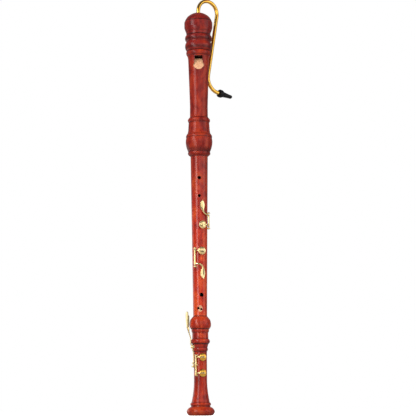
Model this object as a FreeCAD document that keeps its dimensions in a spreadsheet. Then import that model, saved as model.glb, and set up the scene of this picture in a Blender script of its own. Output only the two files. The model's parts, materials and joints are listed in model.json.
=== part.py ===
import FreeCAD, Part
import math
import os
import Sketcher

# Bass recorder with a bent crook, built standing on its foot.
# Lengths are millimetres and angles are degrees.
# +Z runs up the bore, the finger holes face -Y, and the origin is the middle of the foot's base.
# An azimuth is measured round the bore from the front (-Y) towards +X.

doc = FreeCAD.newDocument("BassRecorder")
sheet = doc.addObject("Spreadsheet::Sheet", "Sizes")

# Driving sizes: name, value, meaning.
SIZES = [
    ("joint_gap", 0.3, "play between pieces that come apart"),
    # Bores, tenons and corks
    ("foot_bore_rad", 10.2, "foot bore at the base"),
    ("foot_bore_top_rad", 9.9, "foot bore under the socket"),
    ("foot_bore_straight", 45.0, "height where the foot bore starts to narrow"),
    ("foot_socket_rad", 14.4, "socket for the middle joint"),
    ("foot_socket_floor", 191.0, "height of the socket floor"),
    ("foot_rim_high", 226.0, "height of the foot's upper rim"),
    ("foot_rim_rad", 16.6, "outer radius of the foot's upper rim"),
    ("low_tenon_rad", 13.9, "lower tenon of the middle joint"),
    ("low_tenon_end", 193.3, "height of the lower tenon's end"),
    ("low_cork_bed_rad", 12.9, "groove under the lower cork"),
    ("low_cork_rad", 14.1, "outside of the lower cork"),
    ("low_cork_base", 197.0, "lower end of the lower cork"),
    ("low_cork_top", 221.0, "upper end of the lower cork"),
    ("mid_bore_low_rad", 9.8, "middle bore at its lower end"),
    ("mid_bore_top_rad", 13.0, "middle bore at its upper end"),
    ("mid_foot_rad", 15.95, "outside of the middle joint at the foot"),
    ("mid_waist_rad", 17.7, "outside of the middle joint half way"),
    ("mid_waist_high", 403.0, "height of that radius"),
    ("mid_top_rad", 20.1, "outside of the middle joint at the head"),
    ("mid_top_high", 598.7, "height of the middle joint's upper shoulder"),
    ("top_tenon_rad", 16.9, "upper tenon of the middle joint"),
    ("top_tenon_end", 632.0, "height of the upper tenon's end"),
    ("top_cork_bed_rad", 15.9, "groove under the upper cork"),
    ("top_cork_rad", 17.1, "outside of the upper cork"),
    ("top_cork_base", 604.0, "lower end of the upper cork"),
    ("top_cork_top", 627.0, "upper end of the upper cork"),
    ("head_base_high", 599.0, "height of the head's lower rim"),
    ("head_socket_rad", 17.4, "socket for the middle joint"),
    ("head_socket_roof", 635.0, "height of that socket's end"),
    ("head_bore_rad", 13.6, "head bore"),
    ("head_tenon_rad", 20.9, "tenon inside the cap"),
    ("head_tenon_base", 850.4, "height of the head's upper shoulder"),
    ("head_tenon_end", 889.0, "height of the head tenon's end"),
    ("head_cork_bed_rad", 19.9, "groove under the head cork"),
    ("head_cork_rad", 21.2, "outside of the head cork"),
    ("head_cork_base", 856.0, "lower end of the head cork"),
    ("head_cork_top", 880.0, "upper end of the head cork"),
    ("cap_base_high", 850.8, "height of the cap's lower rim"),
    ("cap_socket_rad", 21.5, "cap socket and wind chamber"),
    ("cap_chamber_high", 914.0, "height where the chamber starts to close"),
    ("cap_throat_rad", 9.0, "chamber radius under the crook socket"),
    ("cap_throat_high", 922.0, "height of the crook socket's lower end"),
    ("cap_crook_rad", 5.8, "crook socket"),
    ("cap_top_high", 943.4, "height of the cap's top"),
    # Window, labium and windway
    ("window_width", 19.0, "width of the window"),
    ("window_base", 830.2, "height of the labium's edge"),
    ("window_top", 836.0, "height of the windway's exit"),
    ("lip_under", 13.4, "underside of the labium, from the bore axis"),
    ("lip_over", 13.9, "upper side of the labium's edge, from the bore axis"),
    ("ramp_drop", 27.2, "height of the ramp on the outside"),
    ("ramp_rise", 9.7, "depth of the ramp at its edge"),
    ("ramp_flare_top", 822.0, "height where the ramp's cheeks flare"),
    ("ramp_flare_low", 815.0, "height where the flare ends"),
    ("ramp_flare_width", 24.6, "width of the flared ramp"),
    ("windway_width", 18.0, "width of the windway"),
    ("windway_floor", 12.0, "windway floor, from the bore axis"),
    ("windway_roof", 14.6, "windway roof, from the bore axis"),
    ("block_play", 0.05, "play of the block in the bore"),
    # Crook and mouthpiece
    ("crook_rad", 4.4, "outside of the crook tube"),
    ("crook_bore_rad", 3.9, "inside of the crook tube"),
    ("crook_start", 925.0, "height of the crook's inner end"),
    ("crook_rise", 24.0, "straight length before the bend"),
    ("crook_bend_rad", 28.0, "radius of the upper bend"),
    ("crook_slant", 10.4, "lean of the long leg from upright"),
    ("crook_leg", 149.0, "length of the long leg"),
    ("crook_turn_rad", 33.0, "radius of the lower bend"),
    ("crook_dip", 8.2, "fall of the blowing end from level"),
    ("crook_end", 22.0, "straight length of the blowing end"),
    ("crook_azimuth", 128.0, "azimuth of the plane of the crook"),
    ("crook_cork_rad", 5.5, "outside of the cork on the crook"),
    ("crook_cork_base", 927.0, "lower end of that cork"),
    ("crook_cork_length", 14.5, "length of that cork"),
    ("blow_cork_rad", 4.9, "outside of the cork at the blowing end"),
    ("blow_cork_length", 14.0, "length of that cork"),
    ("blow_socket_rad", 5.2, "mouthpiece socket"),
    ("blow_socket_depth", 18.5, "depth of that socket"),
    ("blow_bore_rad", 3.2, "air way of the mouthpiece"),
    ("blow_collar_rad", 9.3, "mouthpiece collar"),
    ("blow_collar_length", 8.0, "length of the collar"),
    ("blow_neck_rad", 6.5, "mouthpiece behind the collar"),
    ("blow_neck_at", 13.5, "where the collar's taper ends"),
    ("blow_tip_rad", 5.8, "mouthpiece tip"),
    ("blow_length", 37.0, "length of the mouthpiece"),
    ("blow_round", 1.6, "rounding of the tip"),
    # Finger holes
    ("hole_one_rad", 4.25, "first finger hole"),
    ("hole_one_high", 546.7, "height of the first hole"),
    ("hole_two_rad", 3.5, "second finger hole"),
    ("hole_two_high", 504.8, "height of the second hole"),
    ("hole_five_rad", 4.7, "fifth hole"),
    ("hole_five_high", 274.9, "height of the fifth hole"),
    ("hole_five_azimuth", 13.3, "azimuth of the fifth hole"),
    ("hole_six_left_rad", 2.6, "left one of the double hole"),
    ("hole_six_left_high", 244.3, "its height"),
    ("hole_six_left_azimuth", -15.0, "its azimuth"),
    ("hole_six_right_rad", 2.25, "right one of the double hole"),
    ("hole_six_right_high", 242.0, "its height"),
    ("hole_six_right_azimuth", 11.0, "its azimuth"),
    ("dish_rad", 24.0, "radius of the cutter that dishes the double hole"),
    ("dish_out", 38.9, "distance of the dish's middle from the bore axis"),
    ("dish_high", 243.2, "height of the dish"),
    ("dish_azimuth", 3.4, "azimuth of the dish"),
    ("thumb_hole_rad", 4.0, "thumb hole at the back"),
    ("thumb_hole_high", 562.0, "height of the thumb hole"),
    # Keys
    ("pad_play", 0.3, "pad above its seat when shut"),
    ("pad_thick", 2.6, "pad thickness"),
    ("pad_inset", 1.2, "pad radius less than the cup's"),
    ("cup_wall", 1.1, "wall of the cup's skirt"),
    ("cup_skirt", 1.5, "skirt's edge above the seat"),
    ("cup_top", 4.9, "top of the cup above the seat"),
    ("cup_shoulder", 3.2, "start of the cup's dome above the seat"),
    ("cup_flat_rad", 3.4, "flat on the cup's top"),
    ("seat_margin", 0.9, "spot face radius more than the cup's"),
    ("seat_reach", 14.0, "length of the spot face cutter"),
    ("tone_hole_rad", 4.5, "hole under a cup"),
    ("tube_rad", 2.4, "outside of a hinge tube"),
    ("rod_rad", 1.25, "hinge rod"),
    ("rod_play", 0.07, "running play on the rod"),
    ("post_play", 0.05, "play of the rod in a post"),
    ("post_head_rad", 3.3, "ball of a post"),
    ("post_stem_rad", 1.7, "stem of a post"),
    ("post_root", 14.6, "inner end of a post's stem, from the bore axis"),
    ("post_step", 3.9, "post's middle beyond the end of a hinge tube"),
    ("foot_post_root", 12.8, "inner end of a foot post's stem, from the bore axis"),
    ("arm_thick", 2.0, "thickness of a key's arm"),
    ("arm_high", 3.4, "height of a key's arm"),
    ("spring_rad", 0.25, "needle spring"),
    ("spring_out", 2.95, "spring's distance from the rod's axis"),
    ("ring_cup_rad", 8.9, "cup of the left ring finger key"),
    ("ring_cup_high", 436.7, "height of its cup"),
    ("ring_cup_azimuth", 15.5, "azimuth of its cup"),
    ("ring_seat", 16.4, "its seat, from the bore axis"),
    ("ring_hinge_azimuth", 76.0, "azimuth of its hinge"),
    ("ring_hinge_out", 21.7, "its hinge, from the bore axis"),
    ("ring_tube_base", 433.5, "lower end of its hinge tube"),
    ("ring_tube_length", 27.5, "length of its hinge tube"),
    ("ring_open", 9.0, "opening angle of the key"),
    ("ring_touch_in", 22.4, "underside of its touch, from the bore axis"),
    ("index_cup_rad", 8.8, "cup of the right index finger key"),
    ("index_cup_high", 376.3, "height of its cup"),
    ("index_cup_azimuth", 17.0, "azimuth of its cup"),
    ("index_seat", 15.8, "its seat, from the bore axis"),
    ("index_hinge_azimuth", -32.0, "azimuth of its hinge"),
    ("index_hinge_out", 21.3, "its hinge, from the bore axis"),
    ("index_tube_base", 344.5, "lower end of its hinge tube"),
    ("index_tube_length", 33.5, "length of its hinge tube"),
    ("index_open", 9.0, "opening angle of the key"),
    ("index_touch_in", 21.4, "underside of its touch, from the bore axis"),
    ("ring_touch_azimuth", 17.7, "azimuth of the ring finger touch"),
    ("index_touch_azimuth", 20.0, "azimuth of the index finger touch"),
    ("touch_thick", 1.6, "thickness of a touch"),
    ("foot_cup_rad", 8.4, "cups of the foot keys"),
    ("foot_cup_azimuth", 21.0, "azimuth of the foot cups"),
    ("foot_seat", 13.2, "foot seats, from the bore axis"),
    ("sharp_cup_high", 132.5, "height of the low F sharp cup"),
    ("low_cup_high", 96.2, "height of the low F cup"),
    ("foot_hinge_azimuth", -32.0, "azimuth of the foot hinge"),
    ("foot_hinge_out", 19.4, "foot hinge, from the bore axis"),
    ("sharp_tube_base", 117.4, "lower end of the upper hinge tube"),
    ("sharp_tube_length", 16.7, "length of the upper hinge tube"),
    ("low_tube_base", 93.8, "lower end of the lower hinge tube"),
    ("low_tube_length", 19.8, "length of the lower hinge tube"),
    ("foot_open", 7.0, "opening angle of the foot keys"),
    ("foot_post_step", 1.9, "middle post's centre beyond the end of a hinge tube"),
    ("tail_arm_in", 18.7, "inner face of the tail arms, from the bore axis"),
    ("tail_arm_out", 20.5, "outer face of the tail arms, from the bore axis"),
    ("sharp_arm_base", 117.5, "lower face of the upper tail arm"),
    ("low_arm_base", 110.0, "lower face of the lower tail arm"),
    ("sharp_arm_end", -72.0, "azimuth of the upper tail arm's end"),
    ("low_arm_end", -118.0, "azimuth of the lower tail arm's end"),
    # Long levers of the foot keys
    ("lever_wide", 3.6, "width of a lever"),
    ("lever_boss_rad", 2.3, "boss round the lever's pin"),
    ("lever_pin_rad", 1.0, "lever pin"),
    ("lever_pin_out", 20.3, "lever pin, from the bore axis"),
    ("lever_pin_high", 156.5, "height of the lever pin"),
    ("cheek_play", 0.35, "play beside the lever"),
    ("cheek_thick", 1.6, "thickness of a saddle cheek"),
    ("cheek_in", 14.9, "inner end of a cheek, from the bore axis"),
    ("cheek_out", 22.6, "outer end of a cheek, from the bore axis"),
    ("cheek_base", 153.4, "lower face of a cheek"),
    ("cheek_high", 6.2, "height of a cheek"),
    ("sharp_lever_azimuth", -66.0, "azimuth of the low F sharp lever"),
    ("low_lever_azimuth", -112.0, "azimuth of the low F lever"),
    ("leaf_thick", 1.6, "thickness of a lever's touch"),
    ("sharp_leaf_out", 32.6, "low F sharp touch, from the bore axis"),
    ("low_leaf_out", 29.4, "low F touch, from the bore axis"),
    # Thumb rest with its sling eye
    ("rest_in", 17.75, "thumb rest plate, from the bore axis"),
    ("rest_thick", 1.4, "thickness of the thumb rest"),
    ("rest_wide", 14.0, "width of the plate"),
    ("rest_base", 322.0, "lower edge of the plate"),
    ("rest_high", 44.0, "height of the plate"),
    ("rest_hook_base", 326.0, "lower face of the hook"),
    ("rest_hook_thick", 2.2, "thickness of the hook"),
    ("rest_hook_out", 34.0, "end of the hook, from the bore axis"),
    ("eye_rad", 6.6, "outside of the sling eye"),
    ("eye_hole_rad", 4.0, "hole of the sling eye"),
    ("eye_thick", 3.0, "thickness of the sling eye"),
    ("eye_high", 356.0, "height of the sling eye's middle"),
    ("screw_rad", 1.3, "thumb rest screws"),
    ("screw_head_rad", 2.5, "screw heads"),
    ("screw_head_thick", 1.1, "thickness of the screw heads"),
    ("screw_length", 5.0, "screw length in the wood"),
    ("screw_low_high", 332.5, "height of the lower screw"),
    ("screw_top_high", 344.0, "height of the upper screw"),
]

# Turned outlines, from the bottom up: name, radius, height.
STATIONS = [
    ("foot_edge", 24.0, 0.0),
    ("bell_side", 30.4, 3.5),
    ("bell", 32.2, 9.0),
    ("bell_brow", 29.9, 14.4),
    ("bell_notch", 22.2, 19.8),
    ("bell_bead_low", 22.1, 22.8),
    ("bell_bead", 23.6, 26.0),
    ("bell_bead_top", 21.0, 29.6),
    ("foot_sweep", 16.9, 52.0),
    ("foot_stem_low", 15.0, 84.0),
    ("foot_stem_top", 15.0, 143.5),
    ("collar_low", 15.4, 146.2),
    ("collar", 17.3, 150.2),
    ("collar_top", 16.2, 154.2),
    ("ring_flare", 18.2, 162.0),
    ("ring_low", 19.2, 163.4),
    ("ring", 22.0, 168.2),
    ("ring_top", 18.6, 174.6),
    ("foot_neck", 18.3, 188.4),
    ("fillet_low", 19.7, 190.6),
    ("fillet_top", 20.3, 195.4),
    ("bulb_low", 20.2, 196.8),
    ("bulb_side", 23.7, 201.2),
    ("bulb", 24.9, 207.0),
    ("bulb_brow", 24.1, 214.0),
    ("bulb_top", 22.6, 218.6),
    ("head_rim", 20.5, 599.0),
    ("head_lip", 23.2, 601.6),
    ("head_roll_low", 25.2, 603.2),
    ("head_roll", 26.2, 606.2),
    ("head_roll_top", 25.4, 609.2),
    ("swell_low", 25.4, 610.2),
    ("swell_side", 29.3, 620.8),
    ("swell", 31.1, 632.0),
    ("swell_brow", 30.9, 637.6),
    ("swell_top", 30.0, 643.0),
    ("edge_roll", 30.5, 646.5),
    ("edge_roll_top", 29.4, 649.7),
    ("head_cove", 26.4, 654.2),
    ("head_cone", 25.2, 661.0),
    ("head_collar_low", 24.1, 679.8),
    ("head_collar", 26.0, 685.0),
    ("head_collar_top", 23.6, 689.6),
    ("head_stem_low", 21.0, 692.8),
    ("head_waist", 20.8, 718.0),
    ("head_stem_mid", 22.4, 768.0),
    ("head_stem_top", 24.6, 831.5),
    ("crown_flare", 26.0, 838.0),
    ("crown_low", 27.4, 840.6),
    ("crown", 29.1, 845.8),
    ("cap_rim", 27.7, 850.8),
    ("cap_bulb", 31.6, 861.6),
    ("cap_bulb_top", 28.5, 872.4),
    ("cap_ring_low", 28.5, 873.8),
    ("cap_ring", 31.7, 882.0),
    ("cap_ring_top", 28.2, 889.6),
    ("cap_cove", 28.4, 892.0),
    ("cap_cove_top", 29.3, 896.7),
    ("cap_swell_side", 31.5, 902.0),
    ("cap_swell", 33.1, 907.4),
    ("cap_swell_top", 33.1, 920.4),
    ("cap_step", 31.7, 922.2),
    ("dome_low", 31.5, 923.6),
    ("dome_side", 28.0, 930.6),
    ("dome", 20.6, 937.6),
    ("dome_crest", 14.0, 941.3),
]

# Flat outlines: name, distance across, height.
POINTS = [
    # Touch of the left ring finger key, seen square on at its own azimuth
    ("ring_leaf_tip", 0.0, 494.0),
    ("ring_leaf_right", 5.7, 482.0),
    ("ring_stem_top", 3.0, 470.5),
    ("ring_stem_bow", 8.8, 463.8),
    ("ring_stem_end", 17.4, 460.6),
    ("ring_stem_foot", 17.4, 457.6),
    ("ring_stem_belly", 6.6, 461.4),
    ("ring_stem_root", 0.4, 468.8),
    ("ring_leaf_left", -5.7, 482.0),
    # Touch of the right index finger key
    ("index_stem_foot", -16.9, 345.2),
    ("index_stem_low", -10.0, 344.6),
    ("index_stem_side", -3.6, 340.8),
    ("index_leaf_root", -1.2, 335.4),
    ("index_leaf_left", -5.9, 324.0),
    ("index_leaf_tip", 0.6, 311.0),
    ("index_leaf_right", 5.6, 326.0),
    ("index_stem_brow", 0.6, 343.4),
    ("index_stem_top", -10.0, 347.8),
    ("index_stem_end", -16.9, 348.4),
    # Touches of the foot levers
    ("sharp_leaf_foot", 1.8, 199.0),
    ("sharp_leaf_side", 6.4, 214.0),
    ("sharp_leaf_brow", 7.4, 232.5),
    ("sharp_leaf_top", 0.0, 236.5),
    ("low_leaf_foot", 1.8, 197.0),
    ("low_leaf_side", 5.4, 210.0),
    ("low_leaf_brow", 6.0, 226.5),
    ("low_leaf_top", 0.0, 230.0),
    # Long levers from the side: distance from the bore axis, height
    ("tail_top_in", 16.3, 143.0),
    ("tail_bow_in", 18.1, 150.0),
    ("tail_pin_in", 18.6, 158.5),
    ("tail_ring_in", 23.3, 164.2),
    ("tail_neck_in", 23.3, 177.0),
    ("tail_top_out", 18.1, 142.4),
    ("tail_bow_out", 20.0, 149.4),
    ("tail_pin_out", 20.9, 158.2),
    ("tail_ring_out", 25.1, 163.2),
    ("tail_neck_out", 25.1, 176.4),
    ("sharp_tail_in", 16.3, 115.2),
    ("sharp_tail_out", 18.1, 115.2),
    ("sharp_elbow_in", 30.8, 198.6),
    ("sharp_elbow_out", 32.6, 197.6),
    ("sharp_top_in", 30.8, 210.0),
    ("sharp_top_out", 32.6, 210.0),
    ("low_tail_in", 16.3, 109.0),
    ("low_tail_out", 18.1, 109.0),
    ("low_elbow_in", 27.6, 193.0),
    ("low_elbow_out", 29.4, 192.2),
    ("low_top_in", 27.6, 202.5),
    ("low_top_out", 29.4, 202.5),
]

value = {}


def add_cell(row, column, text, alias=None):
    """Write one cell and name it."""
    cell = column + str(row)
    sheet.set(cell, text)
    if alias:
        sheet.setAlias(cell, alias)


row = 1
for alias, number, meaning in SIZES:
    add_cell(row, "A", alias)
    add_cell(row, "B", repr(number), alias)
    add_cell(row, "C", meaning)
    value[alias] = number
    row += 1
for name, across, up in STATIONS + POINTS:
    add_cell(row, "A", name)
    add_cell(row, "B", repr(across), name + "_across")
    add_cell(row, "C", repr(up), name + "_up")
    value[name + "_across"] = across
    value[name + "_up"] = up
    row += 1
doc.recompute()

X_AXIS = FreeCAD.Vector(1, 0, 0)
Z_AXIS = FreeCAD.Vector(0, 0, 1)
NODES = []


def bind(item, **sizes):
    """Drive an object's properties from the sheet; a double underscore stands for a dot."""
    for prop, expression in sizes.items():
        item.setExpression(prop.replace("__", "."), expression)
    return item


def cell(alias):
    """The expression that reads a named cell."""
    return "Sizes." + alias


def spot(name):
    """The two expressions of a station or a point."""
    return cell(name + "_across"), cell(name + "_up")


def number_of(expression):
    """Work out an expression of sheet names, for a sketch's first guess."""
    return sheet.evalExpression(expression.replace("Sizes.", ""))


def make_body(name):
    """A body with an origin whose planes can carry sketches."""
    body = doc.addObject("PartDesign::Body", name)
    return body


def plane_of(body, role):
    """The body's own origin plane with this role."""
    for feature in body.Origin.OriginFeatures:
        if feature.Role == role:
            return feature
    raise ValueError(role)


def make_sketch(body, name, role):
    """A sketch on one of the body's own planes."""
    sketch = body.newObject("Sketcher::SketchObject", name)
    sketch.AttachmentSupport = (plane_of(body, role), [""])
    sketch.MapMode = "FlatFace"
    return sketch


def fix_vertex(sketch, index, end, label, across, up):
    """Hold one end of an edge at its two driven distances from the origin."""
    for kind, expression, mark in (("DistanceX", across, "x"), ("DistanceY", up, "y")):
        distance = number_of(expression)
        where = sketch.addConstraint(
            Sketcher.Constraint(kind, -1, 1, index, end, distance))
        title = label + "_" + mark
        sketch.renameConstraint(where, title)
        sketch.setExpression("Constraints." + title, expression)


def add_arc(sketch, before, via, after):
    """Add an arc drawn anticlockwise; returns its index and which ends come first and last."""
    turning = (via - before).cross(after - via).z
    if turning > 0:
        return sketch.addGeometry(Part.Arc(before, via, after), False), 1, 2
    return sketch.addGeometry(Part.Arc(after, via, before), False), 2, 1


def close_outline(sketch, corners):
    """Draw a closed outline through driven corners.

    Each corner is (across, up) or (across, up, via_across, via_up), where the edge that
    leads to the corner is then an arc through the via point.
    """
    here = []
    for corner in corners:
        here.append(FreeCAD.Vector(number_of(corner[0]), number_of(corner[1]), 0))
    count = len(corners)
    starts = []
    for place in range(count):
        before = here[place - 1]
        after = here[place]
        corner = corners[place]
        if len(corner) == 2:
            index = sketch.addGeometry(Part.LineSegment(before, after), False)
            starts.append((index, 1, 2))
        else:
            via = FreeCAD.Vector(number_of(corner[2]), number_of(corner[3]), 0)
            index, first, last = add_arc(sketch, before, via, after)
            starts.append((index, first, last))
            mark = sketch.addGeometry(Part.Point(via), True)
            fix_vertex(sketch, mark, 1, "via%d" % place, corner[2], corner[3])
            sketch.addConstraint(Sketcher.Constraint("PointOnObject", mark, 1, index))
    for place in range(count):
        index, first, last = starts[place]
        following, next_first, next_last = starts[(place + 1) % count]
        sketch.addConstraint(
            Sketcher.Constraint("Coincident", index, last, following, next_first))
        fix_vertex(sketch, index, last, "corner%d" % place, corners[place][0], corners[place][1])


def turned(name, corners):
    """A body turned about its own Z axis from a closed outline of radius and height."""
    body = make_body(name)
    sketch = make_sketch(body, name + "_profile", "XZ_Plane")
    close_outline(sketch, corners)
    turn = body.newObject("PartDesign::Revolution", name + "_turning")
    turn.Profile = sketch
    turn.ReferenceAxis = (sketch, ["V_Axis"])
    turn.Angle = 360
    sketch.Visibility = False
    return body


def padded(name, role, corners, length, midplane=False, reversed_way=False):
    """A body padded from a closed outline on one of its planes."""
    body = make_body(name)
    sketch = make_sketch(body, name + "_outline", role)
    close_outline(sketch, corners)
    pad = body.newObject("PartDesign::Pad", name + "_pad")
    pad.Profile = sketch
    pad.setExpression("Length", length)
    pad.Midplane = midplane
    pad.Reversed = reversed_way
    return body


def cylinder(name, radius, height):
    """A driven cylinder."""
    item = doc.addObject("Part::Cylinder", name)
    return bind(item, Radius=radius, Height=height)


def box(name, length, width, height):
    """A driven box."""
    item = doc.addObject("Part::Box", name)
    return bind(item, Length=length, Width=width, Height=height)


def joined(name, items):
    """One shape from several."""
    item = doc.addObject("Part::MultiFuse", name)
    item.Shapes = items
    return item


def cut(name, base, tool):
    """The base without the tool."""
    item = doc.addObject("Part::Cut", name)
    item.Base = base
    item.Tool = tool
    return item


def shared(name, base, tool):
    """What two shapes have in common."""
    item = doc.addObject("Part::Common", name)
    item.Base = base
    item.Tool = tool
    return item


def node(item, label):
    """Keep an object as a named sub-part."""
    item.Label = label
    NODES.append(item)
    return item


def around(azimuth, height=0.0):
    """The frame whose -Y points outwards at this azimuth."""
    turn = FreeCAD.Rotation(Z_AXIS, azimuth)
    return FreeCAD.Placement(FreeCAD.Vector(0, 0, height), turn)


def outward():
    """Lays an upright piece down so that it points along -Y."""
    return FreeCAD.Placement(FreeCAD.Vector(0, 0, 0), FreeCAD.Rotation(X_AXIS, 90))


def shift(across, out, up):
    """A plain move: across, away from the bore axis, and up."""
    return FreeCAD.Placement(FreeCAD.Vector(across, -out, up), FreeCAD.Rotation())


def swing(azimuth, out, angle):
    """A turn by an angle about an upright axis at this azimuth and distance."""
    bearing = math.radians(azimuth)
    pivot = FreeCAD.Vector(out * math.sin(bearing), -out * math.cos(bearing), 0)
    turn = FreeCAD.Rotation(Z_AXIS, angle)
    return FreeCAD.Placement(FreeCAD.Vector(0, 0, 0), turn, pivot)


def drill(name, radius, azimuth, height, reach):
    """A cutter from the bore axis straight out through the wall."""
    item = cylinder(name, radius, reach)
    item.Placement = around(azimuth, height) * outward()
    return item


# ---------------------------------------------------------------- foot joint
zero = "0"
foot_outline = [
    (cell("foot_bore_rad"), zero),
    spot("foot_edge"),
    spot("bell") + spot("bell_side"),
    spot("bell_notch") + spot("bell_brow"),
    spot("bell_bead_low"),
    spot("bell_bead_top") + spot("bell_bead"),
    spot("foot_stem_low") + spot("foot_sweep"),
    spot("foot_stem_top"),
    spot("collar_low"),
    spot("collar_top") + spot("collar"),
    spot("ring_flare"),
    spot("ring_low"),
    spot("ring_top") + spot("ring"),
    spot("foot_neck"),
    spot("fillet_low"),
    spot("fillet_top"),
    spot("bulb_low"),
    spot("bulb") + spot("bulb_side"),
    spot("bulb_top") + spot("bulb_brow"),
    (cell("foot_rim_rad"), cell("foot_rim_high")),
    (cell("foot_socket_rad"), cell("foot_rim_high")),
    (cell("foot_socket_rad"), cell("foot_socket_floor")),
    (cell("foot_bore_top_rad"), cell("foot_socket_floor")),
    (cell("foot_bore_rad"), cell("foot_bore_straight")),
]
foot_turned = turned("foot_turned", foot_outline)

LEVERS = (("sharp", "sharp_lever_azimuth"), ("low", "low_lever_azimuth"))
FOOT_POSTS = (
    ("top", value["sharp_tube_base"] + value["sharp_tube_length"] + value["foot_post_step"]),
    ("mid", value["sharp_tube_base"] - value["foot_post_step"]),
    ("low", value["low_tube_base"] - value["foot_post_step"]),
)


def seat_tools(name, seat, cup_rad, azimuth, height):
    """The spot face under a cup and the tone hole through it."""
    face = cylinder(name + "_face", cell(cup_rad) + " + Sizes.seat_margin", cell("seat_reach"))
    face.Placement = around(azimuth, height) * shift(0, value[seat], 0) * outward()
    hole = drill(name + "_tone", cell("tone_hole_rad"), azimuth, height, cell(seat) + " + 1")
    return [face, hole]


def post_socket(name, azimuth, root, height):
    """The drilled seat of one post."""
    item = cylinder(name, cell("post_stem_rad"), cell("seat_reach"))
    item.Placement = around(azimuth, height) * shift(0, root, 0) * outward()
    return item


def cheek_boxes(prefix):
    """The two cheeks beside each lever, as boxes."""
    made = []
    for lever, azimuth in LEVERS:
        inner = value["lever_wide"] / 2 + value["cheek_play"]
        for side, across in (("left", -inner - value["cheek_thick"]), ("right", inner)):
            reach = cell("cheek_out") + " - Sizes.cheek_in"
            item = box("%s_%s_%s" % (prefix, lever, side), cell("cheek_thick"), reach, cell("cheek_high"))
            place = shift(across, value["cheek_out"], value["cheek_base"])
            item.Placement = around(value[azimuth]) * place
            made.append(item)
    return made


foot_tools = []
for key, height in (("sharp", "sharp_cup_high"), ("low", "low_cup_high")):
    foot_tools += seat_tools(key, "foot_seat", "foot_cup_rad", value["foot_cup_azimuth"], value[height])
for post, height in FOOT_POSTS:
    socket = post_socket("foot_%s_socket" % post, value["foot_hinge_azimuth"],
                         value["foot_post_root"], height)
    foot_tools.append(socket)
foot_tools += cheek_boxes("slot")
foot_cutters = joined("foot_cutters", foot_tools)
node(cut("foot_wood", foot_turned, foot_cutters), "foot_joint")

# -------------------------------------------------------------- middle joint
shoulder_low = cell("foot_rim_high") + " + Sizes.joint_gap"
middle_outline = [
    (cell("mid_bore_low_rad"), cell("low_tenon_end")),
    (cell("low_tenon_rad"), cell("low_tenon_end")),
    (cell("low_tenon_rad"), cell("low_cork_base")),
    (cell("low_cork_bed_rad"), cell("low_cork_base")),
    (cell("low_cork_bed_rad"), cell("low_cork_top")),
    (cell("low_tenon_rad"), cell("low_cork_top")),
    (cell("low_tenon_rad"), shoulder_low),
    (cell("mid_foot_rad"), shoulder_low),
    (cell("mid_waist_rad"), cell("mid_waist_high")),
    (cell("mid_top_rad"), cell("mid_top_high")),
    (cell("top_tenon_rad"), cell("mid_top_high")),
    (cell("top_tenon_rad"), cell("top_cork_base")),
    (cell("top_cork_bed_rad"), cell("top_cork_base")),
    (cell("top_cork_bed_rad"), cell("top_cork_top")),
    (cell("top_tenon_rad"), cell("top_cork_top")),
    (cell("top_tenon_rad"), cell("top_tenon_end")),
    (cell("mid_bore_top_rad"), cell("top_tenon_end")),
]
middle_turned = turned("middle_turned", middle_outline)

FINGER_HOLES = (
    ("hole_one", 0.0),
    ("hole_two", 0.0),
    ("hole_five", value["hole_five_azimuth"]),
    ("hole_six_left", value["hole_six_left_azimuth"]),
    ("hole_six_right", value["hole_six_right_azimuth"]),
    ("thumb_hole", 180.0),
)
wall_reach = cell("mid_top_rad") + " + 2"
middle_tools = []
for hole, azimuth in FINGER_HOLES:
    middle_tools.append(drill(hole, cell(hole + "_rad"), azimuth, value[hole + "_high"], wall_reach))
dish = bind(doc.addObject("Part::Sphere", "dish"), Radius=cell("dish_rad"))
dish.Placement = around(value["dish_azimuth"]) * shift(0, value["dish_out"], value["dish_high"])
middle_tools.append(dish)

MIDDLE_KEYS = ("ring", "index")
for key in MIDDLE_KEYS:
    middle_tools += seat_tools(key, key + "_seat", key + "_cup_rad", value[key + "_cup_azimuth"],
                               value[key + "_cup_high"])


def post_heights(key):
    """The heights of the two posts that hold a middle key's rod."""
    base = value[key + "_tube_base"]
    step = value["post_step"]
    return base - step, base + value[key + "_tube_length"] + step


for key in MIDDLE_KEYS:
    for place, height in enumerate(post_heights(key)):
        middle_tools.append(post_socket("%s_socket_%d" % (key, place), value[key + "_hinge_azimuth"],
                                        value["post_root"], height))
SCREW_HEIGHTS = (value["screw_low_high"], value["screw_top_high"])
for place, height in enumerate(SCREW_HEIGHTS):
    hole = cylinder("screw_hole_%d" % place, cell("screw_rad"), cell("screw_length"))
    root = value["rest_in"] - value["screw_length"]
    hole.Placement = around(180.0, height) * shift(0, root, 0) * outward()
    middle_tools.append(hole)
middle_cutters = joined("middle_cutters", middle_tools)
node(cut("middle_wood", middle_turned, middle_cutters), "middle_joint")


def cork_ring(name, inner, outer, base, top):
    """A cork sleeve in a tenon's groove."""
    corners = [
        (cell(inner), cell(base)),
        (cell(outer), cell(base)),
        (cell(outer), cell(top)),
        (cell(inner), cell(top)),
    ]
    return node(turned(name + "_ring", corners), name)


cork_ring("lower_tenon_cork", "low_cork_bed_rad", "low_cork_rad", "low_cork_base", "low_cork_top")
cork_ring("upper_tenon_cork", "top_cork_bed_rad", "top_cork_rad", "top_cork_base", "top_cork_top")

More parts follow.
